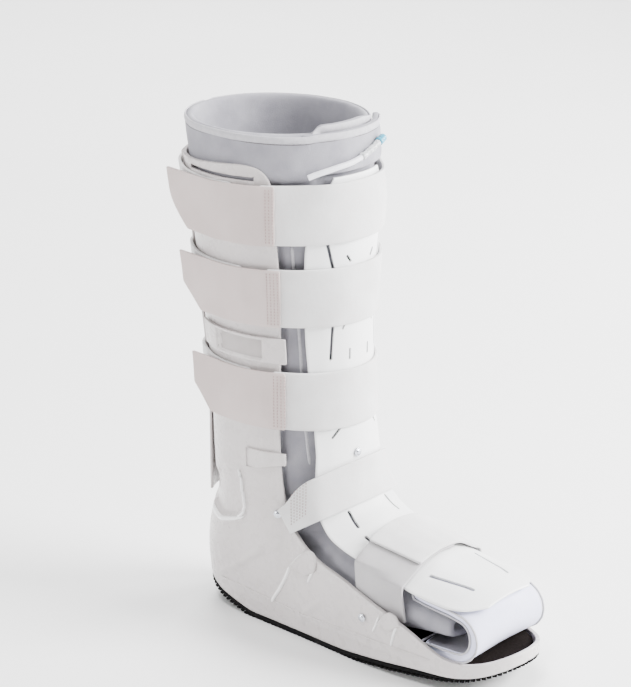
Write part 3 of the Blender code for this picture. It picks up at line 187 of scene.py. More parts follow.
# Hollow pressed into the shell beside the heel, as (y, z), and the lip round its front and foot
HEEL_HOLLOW = (
    (0.0620, 0.1240), (0.0375, 0.1332), (0.0177, 0.1408), (0.0034, 0.1454), (-0.0002, 0.1409),
    (-0.0054, 0.1120), (-0.0013, 0.1033), (0.0080, 0.0967), (0.0294, 0.0893), (0.0444, 0.0937),
    (0.0620, 0.0990),
)
HOLLOW_DEPTH = 0.0022
HOLLOW_LIP = (
    (0.0034, 0.1454), (-0.0002, 0.1409), (-0.0054, 0.1120), (-0.0013, 0.1033), (0.0080, 0.0967),
    (0.0294, 0.0893), (0.0470, 0.0940),
)
LIP_SWELL = 0.0016
LIP_HEIGHT = 0.0018
ROLLED_EDGE = 0.00045

# Edges on the hollow's lip, pale as a painted highlight: name, half width at the first and last point, and
# route as (y, z)
HOLLOW_EDGES = (
    ("front", (0.0010, 0.0014),
     ((0.0020, 0.1440), (-0.0010, 0.1390), (-0.0056, 0.1110), (-0.0022, 0.1030), (0.0050, 0.0985))),
    ("foot", (0.0013, 0.0034), ((-0.0030, 0.1010), (0.0080, 0.0960), (0.0294, 0.0890), (0.0480, 0.0930))),
)

# Side keepers: how far the frame stands up and the panel and slot go down
KEEPER_FRAME = 0.0008
KEEPER_PANEL_DEPTH = 0.0013
KEEPER_SLOT_DEPTH = 0.0020

# Straps and tabs: solid, finish, slot, depth of the creases and of the waves
STRAP_TABLE = (
    ("strap_top", "loop_webbing", "strap webbing", 0.00010, 0.00022),
    ("strap_middle", "loop_webbing", "strap webbing", 0.00010, 0.00022),
    ("strap_low", "loop_webbing", "strap webbing", 0.00010, 0.00022),
    ("ankle_strap", "loop_webbing", "strap webbing", 0.00015, 0.00035),
    ("ankle_anchor", "loop_webbing", "strap webbing", 0.0, 0.0001),
    ("toe_strap_base", "band_webbing_painted_shade", "strap webbing", 0.00015, 0.0002),
    ("toe_strap", "loop_webbing", "strap webbing", 0.00015, 0.0003),
    ("tab_top", "hook_tape", "hook tab", 0.00045, 0.0003),
    ("tab_middle", "hook_tape", "hook tab", 0.00045, 0.0003),
    ("tab_low", "hook_tape", "hook tab", 0.00045, 0.0003),
)

# Finishes. spread: noise cells for each metre, its detail and the two colours it runs between.
# gloss: cells and the roughness at both ends. bumps, from the lowest up: cells, detail, stretch, depth.
EVEN = (1.0, 1.0, 1.0)
NAP = ((220.0, 4.0, EVEN, 0.00025), (2400.0, 3.0, EVEN, 0.00016))
FINISH_TABLE = {
    "pale_floor": {"colour": (0.90, 0.90, 0.90), "roughness": 0.6, "gloss": (3.0, 0.5, 0.7)},
    "moulded_plastic": {
        "colour": (0.52, 0.485, 0.48), "roughness": 0.26,
        "spread": (18.0, 3.0, (0.505, 0.47, 0.465), (0.54, 0.505, 0.50)),
        "gloss": (120.0, 0.22, 0.34), "bumps": ((2600.0, 2.0, EVEN, 0.00004),)},
    # The same plastic, matt where the mould is finely blasted, and darker as painted shade of the pressed
    # panel
    "matt_plastic_painted_shade": {
        "colour": (0.36, 0.33, 0.325), "roughness": 0.65,
        "spread": (40.0, 3.0, (0.33, 0.30, 0.295), (0.39, 0.36, 0.355)),
        "bumps": ((1500.0, 2.0, EVEN, 0.00012),)},
    # Painted shade: a near-black floor for the slots in the side keepers, in place of the shade inside them
    "slot_painted_shade": {
        "colour": (0.12, 0.115, 0.115), "roughness": 0.85,
        "spread": (120.0, 3.0, (0.10, 0.095, 0.095), (0.14, 0.135, 0.135)),
        "bumps": ((900.0, 3.0, EVEN, 0.00006),)},
    # The same plastic, glossier, on raised mould edges, its pale colour a painted highlight
    "highlight_painted_edge": {
        "colour": (0.86, 0.85, 0.85), "roughness": 0.15, "sockets": {"Coat Weight": 0.6},
        "spread": (60.0, 3.0, (0.82, 0.81, 0.81), (0.90, 0.89, 0.89)), "gloss": (300.0, 0.1, 0.22)},
    "flexible_sheet": {
        "colour": (0.80, 0.80, 0.80), "roughness": 0.34,
        "sockets": {"Subsurface Weight": 0.12, "Subsurface Radius": (0.006, 0.006, 0.006)},
        "spread": (14.0, 3.0, (0.78, 0.785, 0.79), (0.83, 0.83, 0.83)),
        "gloss": (90.0, 0.28, 0.42), "bumps": ((1800.0, 2.0, EVEN, 0.00003),)},
    # Brushed knit over foam: slight hollows, fine loops and a soft nap
    "padded_knit": {
        "colour": (0.25, 0.245, 0.275), "roughness": 0.92,
        "sockets": {"Sheen Weight": 0.08, "Sheen Roughness": 0.5},
        "spread": (60.0, 6.0, (0.225, 0.22, 0.25), (0.275, 0.27, 0.30)),
        "bumps": ((45.0, 2.0, EVEN, 0.0008), (900.0, 2.0, (1.0, 1.0, 1.6), 0.00022),
                  (3200.0, 2.0, EVEN, 0.00012))},
    # The same cloth, darker, on the roll's inner side: a lining, with painted shade of the roll's hollow
    "lining_knit_painted_shade": {
        "colour": (0.16, 0.155, 0.18), "roughness": 0.95, "sockets": {"Sheen Weight": 0.1},
        "spread": (60.0, 5.0, (0.14, 0.135, 0.16), (0.18, 0.175, 0.20)),
        "bumps": ((1300.0, 3.0, EVEN, 0.0003),)},
    # Paler, smoother face cloth with a faint blue cast
    "smooth_knit": {
        "colour": (0.66, 0.67, 0.85), "roughness": 0.7, "sockets": {"Sheen Weight": 0.08},
        "spread": (40.0, 5.0, (0.63, 0.64, 0.82), (0.69, 0.70, 0.88)),
        "bumps": ((55.0, 2.0, EVEN, 0.0006), (1300.0, 2.0, (1.0, 1.0, 1.5), 0.00014))},
    "binding_tape": {
        "colour": (0.42, 0.41, 0.44), "roughness": 0.85, "sockets": {"Sheen Weight": 0.1},
        "spread": (300.0, 4.0, (0.39, 0.38, 0.41), (0.45, 0.44, 0.47)),
        "bumps": ((1700.0, 2.0, EVEN, 0.00018),)},
    # Brushed loop tape: a short nap that catches light unevenly
    "loop_webbing": {
        "colour": (0.62, 0.61, 0.61), "roughness": 0.88,
        "sockets": {"Sheen Weight": 0.12, "Sheen Roughness": 0.4},
        "spread": (35.0, 8.0, (0.59, 0.58, 0.58), (0.65, 0.645, 0.645)), "bumps": NAP},
    # The band under the toe strap: the same tape, darker, as painted shade from the strap over it
    "band_webbing_painted_shade": {
        "colour": (0.40, 0.385, 0.395), "roughness": 0.88, "sockets": {"Sheen Weight": 0.1},
        "spread": (35.0, 8.0, (0.37, 0.355, 0.365), (0.43, 0.415, 0.425)), "bumps": NAP},
    # Smoother tape with a faint pink cast, soft creases and a fine cross rib
    "hook_tape": {
        "colour": (0.48, 0.405, 0.39), "roughness": 0.6,
        "spread": (22.0, 4.0, (0.455, 0.38, 0.365), (0.505, 0.43, 0.415)),
        "bumps": ((60.0, 2.0, (1.0, 1.0, 0.15), 0.0009), (1500.0, 2.0, (1.0, 1.0, 2.5), 0.00010))},
    "black_rubber": {
        "colour": (0.004, 0.004, 0.0045), "roughness": 0.85, "sockets": {"Specular IOR Level": 0.08},
        "spread": (80.0, 5.0, (0.003, 0.003, 0.0035), (0.006, 0.0055, 0.0055)),
        "gloss": (140.0, 0.6, 0.85), "bumps": ((1400.0, 3.0, EVEN, 0.00012),)},
    "insole_felt": {
        "colour": (0.006, 0.0043, 0.004), "roughness": 0.95, "sockets": {"Specular IOR Level": 0.05},
        "spread": (500.0, 5.0, (0.004, 0.0027, 0.0025), (0.009, 0.0065, 0.006)),
        "bumps": ((1500.0, 4.0, EVEN, 0.0003),)},
    "bright_metal": {
        "colour": (0.55, 0.57, 0.62), "roughness": 0.16, "sockets": {"Metallic": 1.0},
        "gloss": (700.0, 0.1, 0.28), "bumps": ((2500.0, 3.0, EVEN, 0.00002),)},
    "clear_plastic": {
        "colour": (0.80, 0.81, 0.82), "roughness": 0.12,
        "sockets": {"Transmission Weight": 0.55, "IOR": 1.49}, "gloss": (400.0, 0.08, 0.22)},
    "blue_plastic": {
        "colour": (0.03, 0.27, 0.40), "roughness": 0.3,
        "spread": (250.0, 3.0, (0.025, 0.24, 0.36), (0.045, 0.31, 0.45)), "gloss": (500.0, 0.22, 0.4)},
    "soft_tube": {
        "colour": (0.72, 0.71, 0.76), "roughness": 0.4,
        "spread": (150.0, 3.0, (0.69, 0.68, 0.73), (0.76, 0.75, 0.80)),
        "bumps": ((900.0, 3.0, EVEN, 0.00006),)},
    # Painted shade: a near-black cord in place of the shade in the groove under the collar's binding
    "groove_painted_shade": {
        "colour": (0.12, 0.115, 0.125), "roughness": 0.9,
        "spread": (700.0, 3.0, (0.09, 0.085, 0.095), (0.15, 0.145, 0.155)),
        "bumps": ((4000.0, 3.0, EVEN, 0.0001),)},
    "sewing_thread": {
        "colour": (0.36, 0.26, 0.25), "roughness": 0.8,
        "spread": (900.0, 3.0, (0.31, 0.21, 0.20), (0.42, 0.31, 0.30)),
        "bumps": ((6000.0, 3.0, EVEN, 0.00008),)},
}


# Mesh helpers

def read_points(mesh):
    """Vertex places of a mesh as an array."""
    points = np.empty(len(mesh.vertices) * 3)
    mesh.vertices.foreach_get("co", points)
    return points.reshape(-1, 3)


def read_normals(mesh):
    """Vertex normals of a mesh as an array."""
    normals = np.empty(len(mesh.vertices) * 3)
    mesh.vertices.foreach_get("normal", normals)
    return normals.reshape(-1, 3)


def write_points(mesh, points):
    mesh.vertices.foreach_set("co", np.asarray(points, dtype=float).ravel())
    mesh.update()


def rise(low, high, value):
    """0 below low, 1 above high, smooth between."""
    share = np.clip((value - low) / (high - low), 0.0, 1.0)
    return share * share * (3.0 - 2.0 * share)


def smooth(values, rounds):
    """Even out an array along its first axis, in place, with both ends kept."""
    for _ in range(rounds):
        values[1:-1] = 0.25 * values[:-2] + 0.5 * values[1:-1] + 0.25 * values[2:]
    return values


def reach_of(places):
    """Length passed at each point of a line."""
    return np.concatenate(([0.0], np.cumsum(np.linalg.norm(np.diff(places, axis=0), axis=1))))


def rows_at(reaches, reach, table):
    """Rows of a table at places between those where its rows stand."""
    return np.column_stack([np.interp(reaches, reach, column) for column in table.T])


def show(name, data):
    """A new object in the scene, at the origin."""
    item = bpy.data.objects.new(name, data)
    bpy.context.scene.collection.objects.link(item)
    return item


def new_piece(name, mesh, finish):
    """A shown mesh with one finish."""
    piece = show(name, mesh)
    mesh.materials.clear()
    mesh.materials.append(finish)
    return piece


def closed_piece(name, verts, faces, finish):
    """A shown piece from corners and faces, its normals outwards."""
    mesh = bpy.data.meshes.new(name)
    mesh.from_pydata([tuple(place) for place in verts], [], faces)
    tidy_normals(mesh)
    return new_piece(name, mesh, finish)


def settle(piece):
    """Turn a piece's modifiers into its own mesh."""
    graph = bpy.context.evaluated_depsgraph_get()
    mesh = bpy.data.meshes.new_from_object(piece.evaluated_get(graph))
    piece.modifiers.clear()
    piece.data = mesh
    mesh.shade_smooth()
    return piece


def refine(node, name, finish, levels, crease):
    """A finer copy of a solid: its triangles joined to quads, its edges creased, its faces subdivided."""
    work = bmesh.new()
    work.from_mesh(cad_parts[node].data)
    bmesh.ops.remove_doubles(work, verts=work.verts, dist=1e-6)
    bmesh.ops.join_triangles(
        work, faces=work.faces, angle_face_threshold=CREASE_ANGLE,
        angle_shape_threshold=math.radians(60.0))
    creases = work.edges.layers.float.new("crease_edge")
    for edge in work.edges:
        if edge.calc_face_angle(0.0) > CREASE_ANGLE:
            edge[creases] = crease
    mesh = bpy.data.meshes.new(name)
    work.to_mesh(mesh)
    work.free()
    piece = new_piece(name, mesh, finish)
    surface = piece.modifiers.new("fine", "SUBSURF")
    surface.levels = surface.render_levels = levels
    settle(piece)
    return piece


def carry(piece, slot_name, *nodes):
    """Put a piece on the body, in place of its solids."""
    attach(piece, "root")
    if nodes:
        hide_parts(*nodes)
    return piece


def surface_of(piece):
    """A search tree over a piece's faces."""
    mesh = piece.data
    return BVHTree.FromPolygons(
        [tuple(vertex.co) for vertex in mesh.vertices], [tuple(face.vertices) for face in mesh.polygons])


def even_line(places, step=0.002, rounding=4):
    """A line of points spaced evenly, with its corners rounded."""
    places = np.asarray(places, dtype=float)
    reach = reach_of(places)
    shares = np.linspace(0.0, reach[-1], max(4, int(reach[-1] / step)))
    return smooth(rows_at(shares, reach, places), rounding)


def distance_to(points, route):
    """Distance from each point to a line of points, and the share of its length passed there."""
    route = np.asarray(route, dtype=float)
    steps = np.linalg.norm(np.diff(route, axis=0), axis=1)
    best, share_there, passed = np.full(len(points), 9.0), np.zeros(len(points)), 0.0
    for start, end, step in zip(route[:-1], route[1:], steps):
        share = np.clip((points - start) @ (end - start) / step ** 2, 0.0, 1.0)
        gap = np.linalg.norm(points - start - share[:, None] * (end - start), axis=1)
        nearer = gap < best
        best[nearer] = gap[nearer]
        share_there[nearer] = (passed + share[nearer] * step) / steps.sum()
        passed += step
    return best, share_there


def inside_depth(points, outline):
    """How far each flat point lies inside an outline, negative outside."""
    outline = np.asarray(outline, dtype=float)
    gap, _ = distance_to(points, np.vstack((outline, outline[:1])))
    inside = np.zeros(len(points), dtype=bool)
    for (ax, ay), (bx, by) in zip(outline, np.roll(outline, -1, axis=0)):
        crosses = (ay > points[:, 1]) != (by > points[:, 1])
        inside ^= crosses & (points[:, 0] < (bx - ax) * (points[:, 1] - ay) / (by - ay + 1e-12) + ax)
    return np.where(inside, gap, -gap)


def outer_share(points, normals):
    """1 on faces that look away from the leg and foot, 0 on the others."""
    away = points * (1.0, 1.0, 0.0)
    away[:, 1] -= np.clip(points[:, 1], -0.20, 0.0) * (points[:, 2] < 0.12)
    away /= np.linalg.norm(away, axis=1)[:, None] + 1e-9
    return rise(0.25, 0.6, np.sum(normals * away, axis=1))


def read_shape(piece):
    """A piece's vertex places and normals, and how far each looks outwards."""
    points, normals = read_points(piece.data), read_normals(piece.data)
    return points, normals, outer_share(points, normals)


def leg_turn(points):
    """Turn from the front towards the outer side, in degrees."""
    return np.degrees(np.arctan2(-points[:, 0], -points[:, 1]))


def waves(points, size, seed, stretch=EVEN):
    """Soft hills and hollows between about -1 and 1, of one size in metres."""
    chance = np.random.default_rng(seed)
    total = np.zeros(len(points))
    for _ in range(7):
        direction = chance.normal(size=3)
        direction *= chance.uniform(0.7, 1.6) * 2.0 * math.pi / (size * np.linalg.norm(direction))
        total += np.sin(points @ (direction * stretch) + chance.uniform(0.0, 2.0 * math.pi))
    return total / 3.5


def move_out(piece, distance):
    """Move a piece's vertices along their normals."""
    points, normals = read_points(piece.data), read_normals(piece.data)
    write_points(piece.data, points + normals * np.asarray(distance)[:, None])


def round_the_leg(surface, turn, height):
    """The outermost place on a surface at a turn from the front and a height."""
    angle = math.radians(turn)
    outwards = Vector((-math.sin(angle), -math.cos(angle), 0.0))
    place, _, _, _ = surface.ray_cast(outwards * 0.2 + Vector((0.0, 0.0, height)), -outwards)
    return None if place is None or place.dot(outwards) < 0.0 else place


def leg_line(surface, turns, heights):
    """Places on a surface along a course round the leg, and the way out at each."""
    places, ways = [], []
    for turn, height in zip(turns, heights):
        place = round_the_leg(surface, turn, height)
        if place is not None:
            places.append(place)
            ways.append((-math.sin(math.radians(turn)), -math.cos(math.radians(turn)), 0.0))
    return np.array(places), np.array(ways)


def wall_line(surface, route, side):
    """Places on a side wall along a flat route of (y, z), and the way out at each."""
    places, ways = [], []
    for y, z in even_line(route):
        place, normal, _, _ = surface.ray_cast(Vector((side * 0.2, y, z)), Vector((-side, 0.0, 0.0)))
        if place is not None:
            places.append(place)
            ways.append(normal)
    return np.array(places), np.array(ways)


def tidy_normals(mesh):
    work = bmesh.new()
    work.from_mesh(mesh)
    bmesh.ops.remove_doubles(work, verts=work.verts, dist=1e-7)
    bmesh.ops.recalc_face_normals(work, faces=work.faces)
    work.to_mesh(mesh)
    work.free()
    mesh.shade_smooth()


def tube_faces(rings, size):
    """Faces of a tube of rings, closed at both ends."""
    faces = [tuple(range(size))[::-1], tuple((rings - 1) * size + k for k in range(size))]
    for r in range(rings - 1):
        for k in range(size):
            after = (k + 1) % size
            faces.append((r * size + k, r * size + after, (r + 1) * size + after, (r + 1) * size + k))
    return faces


def bead(name, courses, half_width, height, finish):
    """Raised lines with a rounded section, each along places with a way out at each.

    The half width is one value, or two for the first and last place.
    """
    verts, faces = [], []
    angles = np.linspace(0.0, math.pi, 7)
    across = np.append(np.cos(angles), (-0.9, 0.9))
    first_width, last_width = half_width if isinstance(half_width, tuple) else (half_width, half_width)
    above = np.append(np.sin(angles) * height, (-0.0004, -0.0004))
    for places, ways in courses:
        ahead = np.gradient(places, axis=0)
        aside = np.cross(ahead, ways)
        aside /= np.linalg.norm(aside, axis=1)[:, None]
        count = len(places)
        ends = np.minimum(np.arange(count), np.arange(count)[::-1])
        full = np.sqrt(np.clip((ends + 0.25) / 2.0, 0.0, 1.0))
        widths = np.linspace(first_width, last_width, count) * full
        first = len(verts)
        for place, way, flank, width, share in zip(places, ways, aside, widths, full):
            heights = np.where(above > 0.0, above * share, above)
            verts += [place + flank * a * width + way * b for a, b in zip(across, heights)]
        faces += [tuple(first + k for k in face) for face in tube_faces(count, len(across))]
    return closed_piece(name, verts, faces, finish)


def lathe(name, route, profile, finish):
    """A round body along a route, with a profile of (share of its length, radius)."""
    line = even_line(route, 0.0008, 2)
    ahead = np.gradient(line, axis=0)
    ahead /= np.linalg.norm(ahead, axis=1)[:, None]
    reach = reach_of(line)
    turns = np.linspace(0.0, 2.0 * math.pi, LATHE_SIDES, endpoint=False)
    verts = []
    for share, radius in profile:
        place = rows_at([share * reach[-1]], reach, line)[0]
        axis = rows_at([share * reach[-1]], reach, ahead)[0]
        aside = np.cross(axis, (0.0, 0.0, 1.0))
        aside /= np.linalg.norm(aside)
        above = np.cross(aside, axis)
        verts += [place + radius * (aside * math.cos(t) + above * math.sin(t)) for t in turns]
    return closed_piece(name, verts, tube_faces(len(profile), LATHE_SIDES), finish)


def sharp_loops(node, angle=50.0):
    """Lines of places along a solid's sharp edges, longest first."""
    work = bmesh.new()
    work.from_mesh(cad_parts[node].data)
    bmesh.ops.remove_doubles(work, verts=work.verts, dist=1e-6)
    beside = {}
    for edge in work.edges:
        if edge.calc_face_angle(0.0) > math.radians(angle):
            for vertex in edge.verts:
                beside.setdefault(vertex, []).append(edge.other_vert(vertex))
    loops = []
    while beside:
        vertex = min(beside, key=lambda v: (len(beside[v]) != 1, v.index))
        line = [vertex]
        while beside.get(vertex):
            after = beside[vertex].pop(0)
            beside[after].remove(vertex)
            line.append(after)
            vertex = after
        beside = {v: others for v, others in beside.items() if others}
        loops.append(np.array([tuple(v.co) for v in line]))
    work.free()
    return sorted(loops, key=len, reverse=True)


def piping(name, lines, radius, finish):
    """Round cord sewn along lines of places."""
    curve = bpy.data.curves.new(name, "CURVE")
    curve.dimensions = "3D"
    curve.bevel_depth = radius
    curve.bevel_resolution = 2
    for line in lines:
        spline = curve.splines.new("POLY")
        spline.points.add(len(line) - 1)
        spline.points.foreach_set("co", np.column_stack((line, np.ones(len(line)))).ravel())
        spline.use_cyclic_u = bool(np.linalg.norm(line[0] - line[-1]) < 0.004)
    carrier = show(name, curve)
    graph = bpy.context.evaluated_depsgraph_get()
    mesh = bpy.data.meshes.new_from_object(carrier.evaluated_get(graph))
    bpy.data.objects.remove(carrier)
    tidy_normals(mesh)
    return new_piece(name, mesh, finish)


# Finishes

def add_noise(tree, scale, detail=3.0, stretch=EVEN):
    """Noise on Object coordinates, with scale in cells for each metre."""
    coordinates = tree.nodes.new("ShaderNodeTexCoord")
    mapping = tree.nodes.new("ShaderNodeMapping")
    mapping.inputs["Scale"].default_value = stretch
    noise = tree.nodes.new("ShaderNodeTexNoise")
    noise.inputs["Scale"].default_value = scale
    noise.inputs["Detail"].default_value = detail
    tree.links.new(coordinates.outputs["Object"], mapping.inputs["Vector"])
    tree.links.new(mapping.outputs["Vector"], noise.inputs["Vector"])
    return noise.outputs["Fac"]


def vary_colour(tree, shader, factor, low, high):
    """Base colour that runs from low to high with a factor."""
    ramp = tree.nodes.new("ShaderNodeValToRGB")
    ramp.color_ramp.elements[0].position = 0.35
    ramp.color_ramp.elements[0].color = (*low, 1.0)
    ramp.color_ramp.elements[1].position = 0.65
    ramp.color_ramp.elements[1].color = (*high, 1.0)
    tree.links.new(factor, ramp.inputs["Fac"])
    tree.links.new(ramp.outputs["Color"], shader.inputs["Base Color"])


def vary_roughness(tree, shader, factor, low, high):
    """Roughness that runs from low to high with a factor."""
    spread = tree.nodes.new("ShaderNodeMapRange")
    spread.inputs["To Min"].default_value = low
    spread.inputs["To Max"].default_value = high
    tree.links.new(factor, spread.inputs["Value"])
    tree.links.new(spread.outputs["Result"], shader.inputs["Roughness"])


def add_bump(tree, shader, height, depth, under=None):
    """Bump of a depth in metres, over another bump if one is given."""
    bump = tree.nodes.new("ShaderNodeBump")
    bump.inputs["Strength"].default_value = 1.0
    bump.inputs["Distance"].default_value = depth
    tree.links.new(height, bump.inputs["Height"])
    if under is not None:
        tree.links.new(under.outputs["Normal"], bump.inputs["Normal"])
    tree.links.new(bump.outputs["Normal"], shader.inputs["Normal"])
    return bump


def make_finish(name):
    """A material with one shader, and fine noise in its colour, gloss and surface, from its row."""
    row = FINISH_TABLE[name]
    finish = bpy.data.materials.new(name)
    finish.use_nodes = True
    tree = finish.node_tree
    shader = tree.nodes["Principled BSDF"]
    shader.inputs["Base Color"].default_value = (*row["colour"], 1.0)
    shader.inputs["Roughness"].default_value = row["roughness"]
    for socket, value in row.get("sockets", {}).items():
        shader.inputs[socket].default_value = value
    if "spread" in row:
        cells, detail, low, high = row["spread"]
        vary_colour(tree, shader, add_noise(tree, cells, detail), low, high)
    if "gloss" in row:
        cells, low, high = row["gloss"]
        vary_roughness(tree, shader, add_noise(tree, cells), low, high)
    under = None
    for cells, detail, stretch, depth in row.get("bumps", ()):
        under = add_bump(tree, shader, add_noise(tree, cells, detail, stretch), depth, under)
    return finish


# Camera, light and floor

def build_camera():
    """The photograph's viewpoint, with the image's long side upright."""
    place, aim = Vector(CAMERA_PLACE), Vector(CAMERA_AIM)
    ahead = (aim - place).normalized()
    right = ahead.cross(Vector((0.0, 0.0, 1.0))).normalized()
    above = right.cross(ahead)
    data = bpy.data.cameras.new("camera")
    data.sensor_fit = "VERTICAL"
    data.sensor_width = data.sensor_height = CAMERA_SENSOR
    data.lens = CAMERA_LENS
    data.clip_start, data.clip_end = 0.05, 50.0
    camera = show("camera", data)
    axes = Matrix((right, above, -ahead)).transposed().to_4x4()
    camera.matrix_world = Matrix.Translation(place) @ axes
    bpy.context.scene.camera = camera


def add_light(name, place, aim, size, power):
    data = bpy.data.lights.new(name, "AREA")
    data.shape = "DISK"
    data.size = size
    data.energy = power
    light = show(name, data)
    light.location = place
    light.rotation_euler = (Vector(aim) - Vector(place)).to_track_quat("-Z", "Y").to_euler()


def build_studio():
    """Pale floor, an even sky and soft lamps: the brightest one stands ahead of the toe."""
    mesh = bpy.data.meshes.new("floor")
    half = FLOOR_SIZE / 2.0
    corners = [(-half, -half, 0.0), (half, -half, 0.0), (half, half, 0.0), (-half, half, 0.0)]
    mesh.from_pydata(corners, [], [(0, 1, 2, 3)])
    floor = new_piece("floor", mesh, finishes["pale_floor"])
    world = bpy.data.worlds.new("sky")
    world.use_nodes = True
    world.node_tree.nodes["Background"].inputs["Color"].default_value = (1.0, 1.0, 1.0, 1.0)
    world.node_tree.nodes["Background"].inputs["Strength"].default_value = WORLD_STRENGTH
    bpy.context.scene.world = world
    for lamp in LAMPS:
        add_light(*lamp)


# Repeated shapes

def repeat_tree(name, finish, inputs):
    """Geometry nodes that set a shape on points: the tree, its input node and the node that sets it."""
    tree = bpy.data.node_groups.new(name, "GeometryNodeTree")
    face = tree.interface
    face.new_socket("Geometry", in_out="INPUT", socket_type="NodeSocketGeometry")
    for socket, kind in inputs:
        face.new_socket(socket, in_out="INPUT", socket_type=kind)
    face.new_socket("Geometry", in_out="OUTPUT", socket_type="NodeSocketGeometry")
    entry, leave = tree.nodes.new("NodeGroupInput"), tree.nodes.new("NodeGroupOutput")
    place = tree.nodes.new("GeometryNodeInstanceOnPoints")
    real = tree.nodes.new("GeometryNodeRealizeInstances")
    paint = tree.nodes.new("GeometryNodeSetMaterial")
    paint.inputs["Material"].default_value = finish
    tree.links.new(place.outputs["Instances"], real.inputs["Geometry"])
    tree.links.new(real.outputs["Geometry"], paint.inputs["Geometry"])
    tree.links.new(paint.outputs["Geometry"], leave.inputs["Geometry"])
    return tree, entry, place


def stitch_tree(thread):
    """Geometry nodes that lay short threads end to end along curves."""
    inputs = [(size, "NodeSocketFloat") for size in ("Spacing", "Length", "Radius")]
    tree, entry, place = repeat_tree("stitches", thread, inputs)
    curve = tree.nodes.new("GeometryNodeMeshToCurve")
    points = tree.nodes.new("GeometryNodeCurveToPoints")
    points.mode = "LENGTH"
    bar = tree.nodes.new("GeometryNodeMeshCylinder")
    bar.inputs["Vertices"].default_value = 6
    link = tree.links.new
    link(entry.outputs["Geometry"], curve.inputs["Mesh"])
    link(curve.outputs["Curve"], points.inputs["Curve"])
    link(entry.outputs["Spacing"], points.inputs["Length"])
    link(entry.outputs["Radius"], bar.inputs["Radius"])
    link(entry.outputs["Length"], bar.inputs["Depth"])
    link(points.outputs["Points"], place.inputs["Points"])
    link(bar.outputs["Mesh"], place.inputs["Instance"])
    link(points.outputs["Rotation"], place.inputs["Rotation"])
    return tree


def point_tree(finish):
    """Geometry nodes that set a shape on every point, its X axis along the point's way out."""
    tree, entry, place = repeat_tree("set_on_points", finish, [("Shape", "NodeSocketObject")])
    shape = tree.nodes.new("GeometryNodeObjectInfo")
    way = tree.nodes.new("GeometryNodeInputNamedAttribute")
    way.data_type = "FLOAT_VECTOR"
    way.inputs["Name"].default_value = "way_out"
    turn = tree.nodes.new("FunctionNodeAlignRotationToVector")
    turn.axis = "X"
    link = tree.links.new
    link(entry.outputs["Geometry"], place.inputs["Points"])
    link(entry.outputs["Shape"], shape.inputs["Object"])
    link(shape.outputs["Geometry"], place.inputs["Instance"])
    link(way.outputs["Attribute"], turn.inputs["Vector"])
    link(turn.outputs["Rotation"], place.inputs["Rotation"])
    return tree


def repeat_on(piece, tree, values, finish):
    """Run a tree on a piece with its named inputs, set by their identifiers, and keep the result."""
    modifier = piece.modifiers.new("repeat", "NODES")
    modifier.node_group = tree
    for item in tree.interface.items_tree:
        if item.in_out == "INPUT" and item.name in values:
            modifier[item.identifier] = values[item.name]
    settle(piece)
    piece.data.materials.clear()
    piece.data.materials.append(finish)
    return piece


def sew_over(name, surface, columns, tree, slot_name):
    """Columns of ladder stitches laid on a surface."""
    thread = finishes["sewing_thread"]
    mesh = bpy.data.meshes.new(name)
    points, edges = [], []
    for column in columns:
        places = [surface.find_nearest(Vector(place)) for place in column]
        edges += [(len(points) + i, len(points) + i + 1) for i in range(len(column) - 1)]
        points += [tuple(place + normal * 0.00008) for place, normal, _, _ in places]
    mesh.from_pydata(points, edges, [])
    sizes = {"Spacing": STITCH_SPACING, "Length": STITCH_LENGTH, "Radius": STITCH_RADIUS}
    carry(repeat_on(new_piece(name, mesh, thread), tree, sizes, thread), slot_name)


def build_stitches(straps):
    tree = stitch_tree(finishes["sewing_thread"])
    reach = STRAP_WIDTH / 2.0 - 0.0030
    for name, turns in TAB_SEAMS.items():
        surface = surface_of(straps[f"tab_{name}"])
        heights = np.linspace(STRAP_HEIGHTS[name] - reach, STRAP_HEIGHTS[name] + reach, 24)
        columns = [leg_line(surface, np.full(24, turn), heights)[0] for turn in turns]
        sew_over(f"stitches_{name}", surface, columns, tree, "hook tab")
    first, last = (even_line(places) for places in ANKLE_SEAMS)
    columns = [first + (last[0] - first[0]) * share for share in np.linspace(-2.0, 3.0, 6)]
    sew_over("stitches_ankle", surface_of(straps["ankle_strap"]), columns, tree, "strap webbing")


def set_on_points(name, shape_mesh, places, ways, finish):
    """One piece made of a shape repeated at places."""
    shape = bpy.data.objects.new(f"{name}_shape", shape_mesh)
    mesh = bpy.data.meshes.new(name)
    mesh.from_pydata([tuple(place) for place in places], [], [])
    kept = mesh.attributes.new("way_out", "FLOAT_VECTOR", "POINT")
    kept.data.foreach_set("vector", np.asarray(ways, dtype=float).ravel())
    piece = repeat_on(new_piece(name, mesh, finish), point_tree(finish), {"Shape": shape}, finish)
    bpy.data.objects.remove(shape)
    return piece


def rivet_shape():
    """A domed head with a thin rolled rim, facing along X."""
    profile = ((-0.0008, 0.0), (-0.0008, 0.0034), (0.0002, 0.0036), (0.0007, 0.0035), (0.0008, 0.0031),
               (0.0007, 0.0028), (0.0012, 0.0023), (0.0016, 0.0014), (0.0018, 0.0))
    sides = 28
    verts = []
    for out, radius in profile:
        for k in range(sides):
            turn = 2.0 * math.pi * k / sides
            verts.append((out, max(radius, 1e-5) * math.cos(turn), max(radius, 1e-5) * math.sin(turn)))
    mesh = bpy.data.meshes.new("rivet")
    mesh.from_pydata(verts, [], tube_faces(len(profile), sides))
    tidy_normals(mesh)
    return mesh


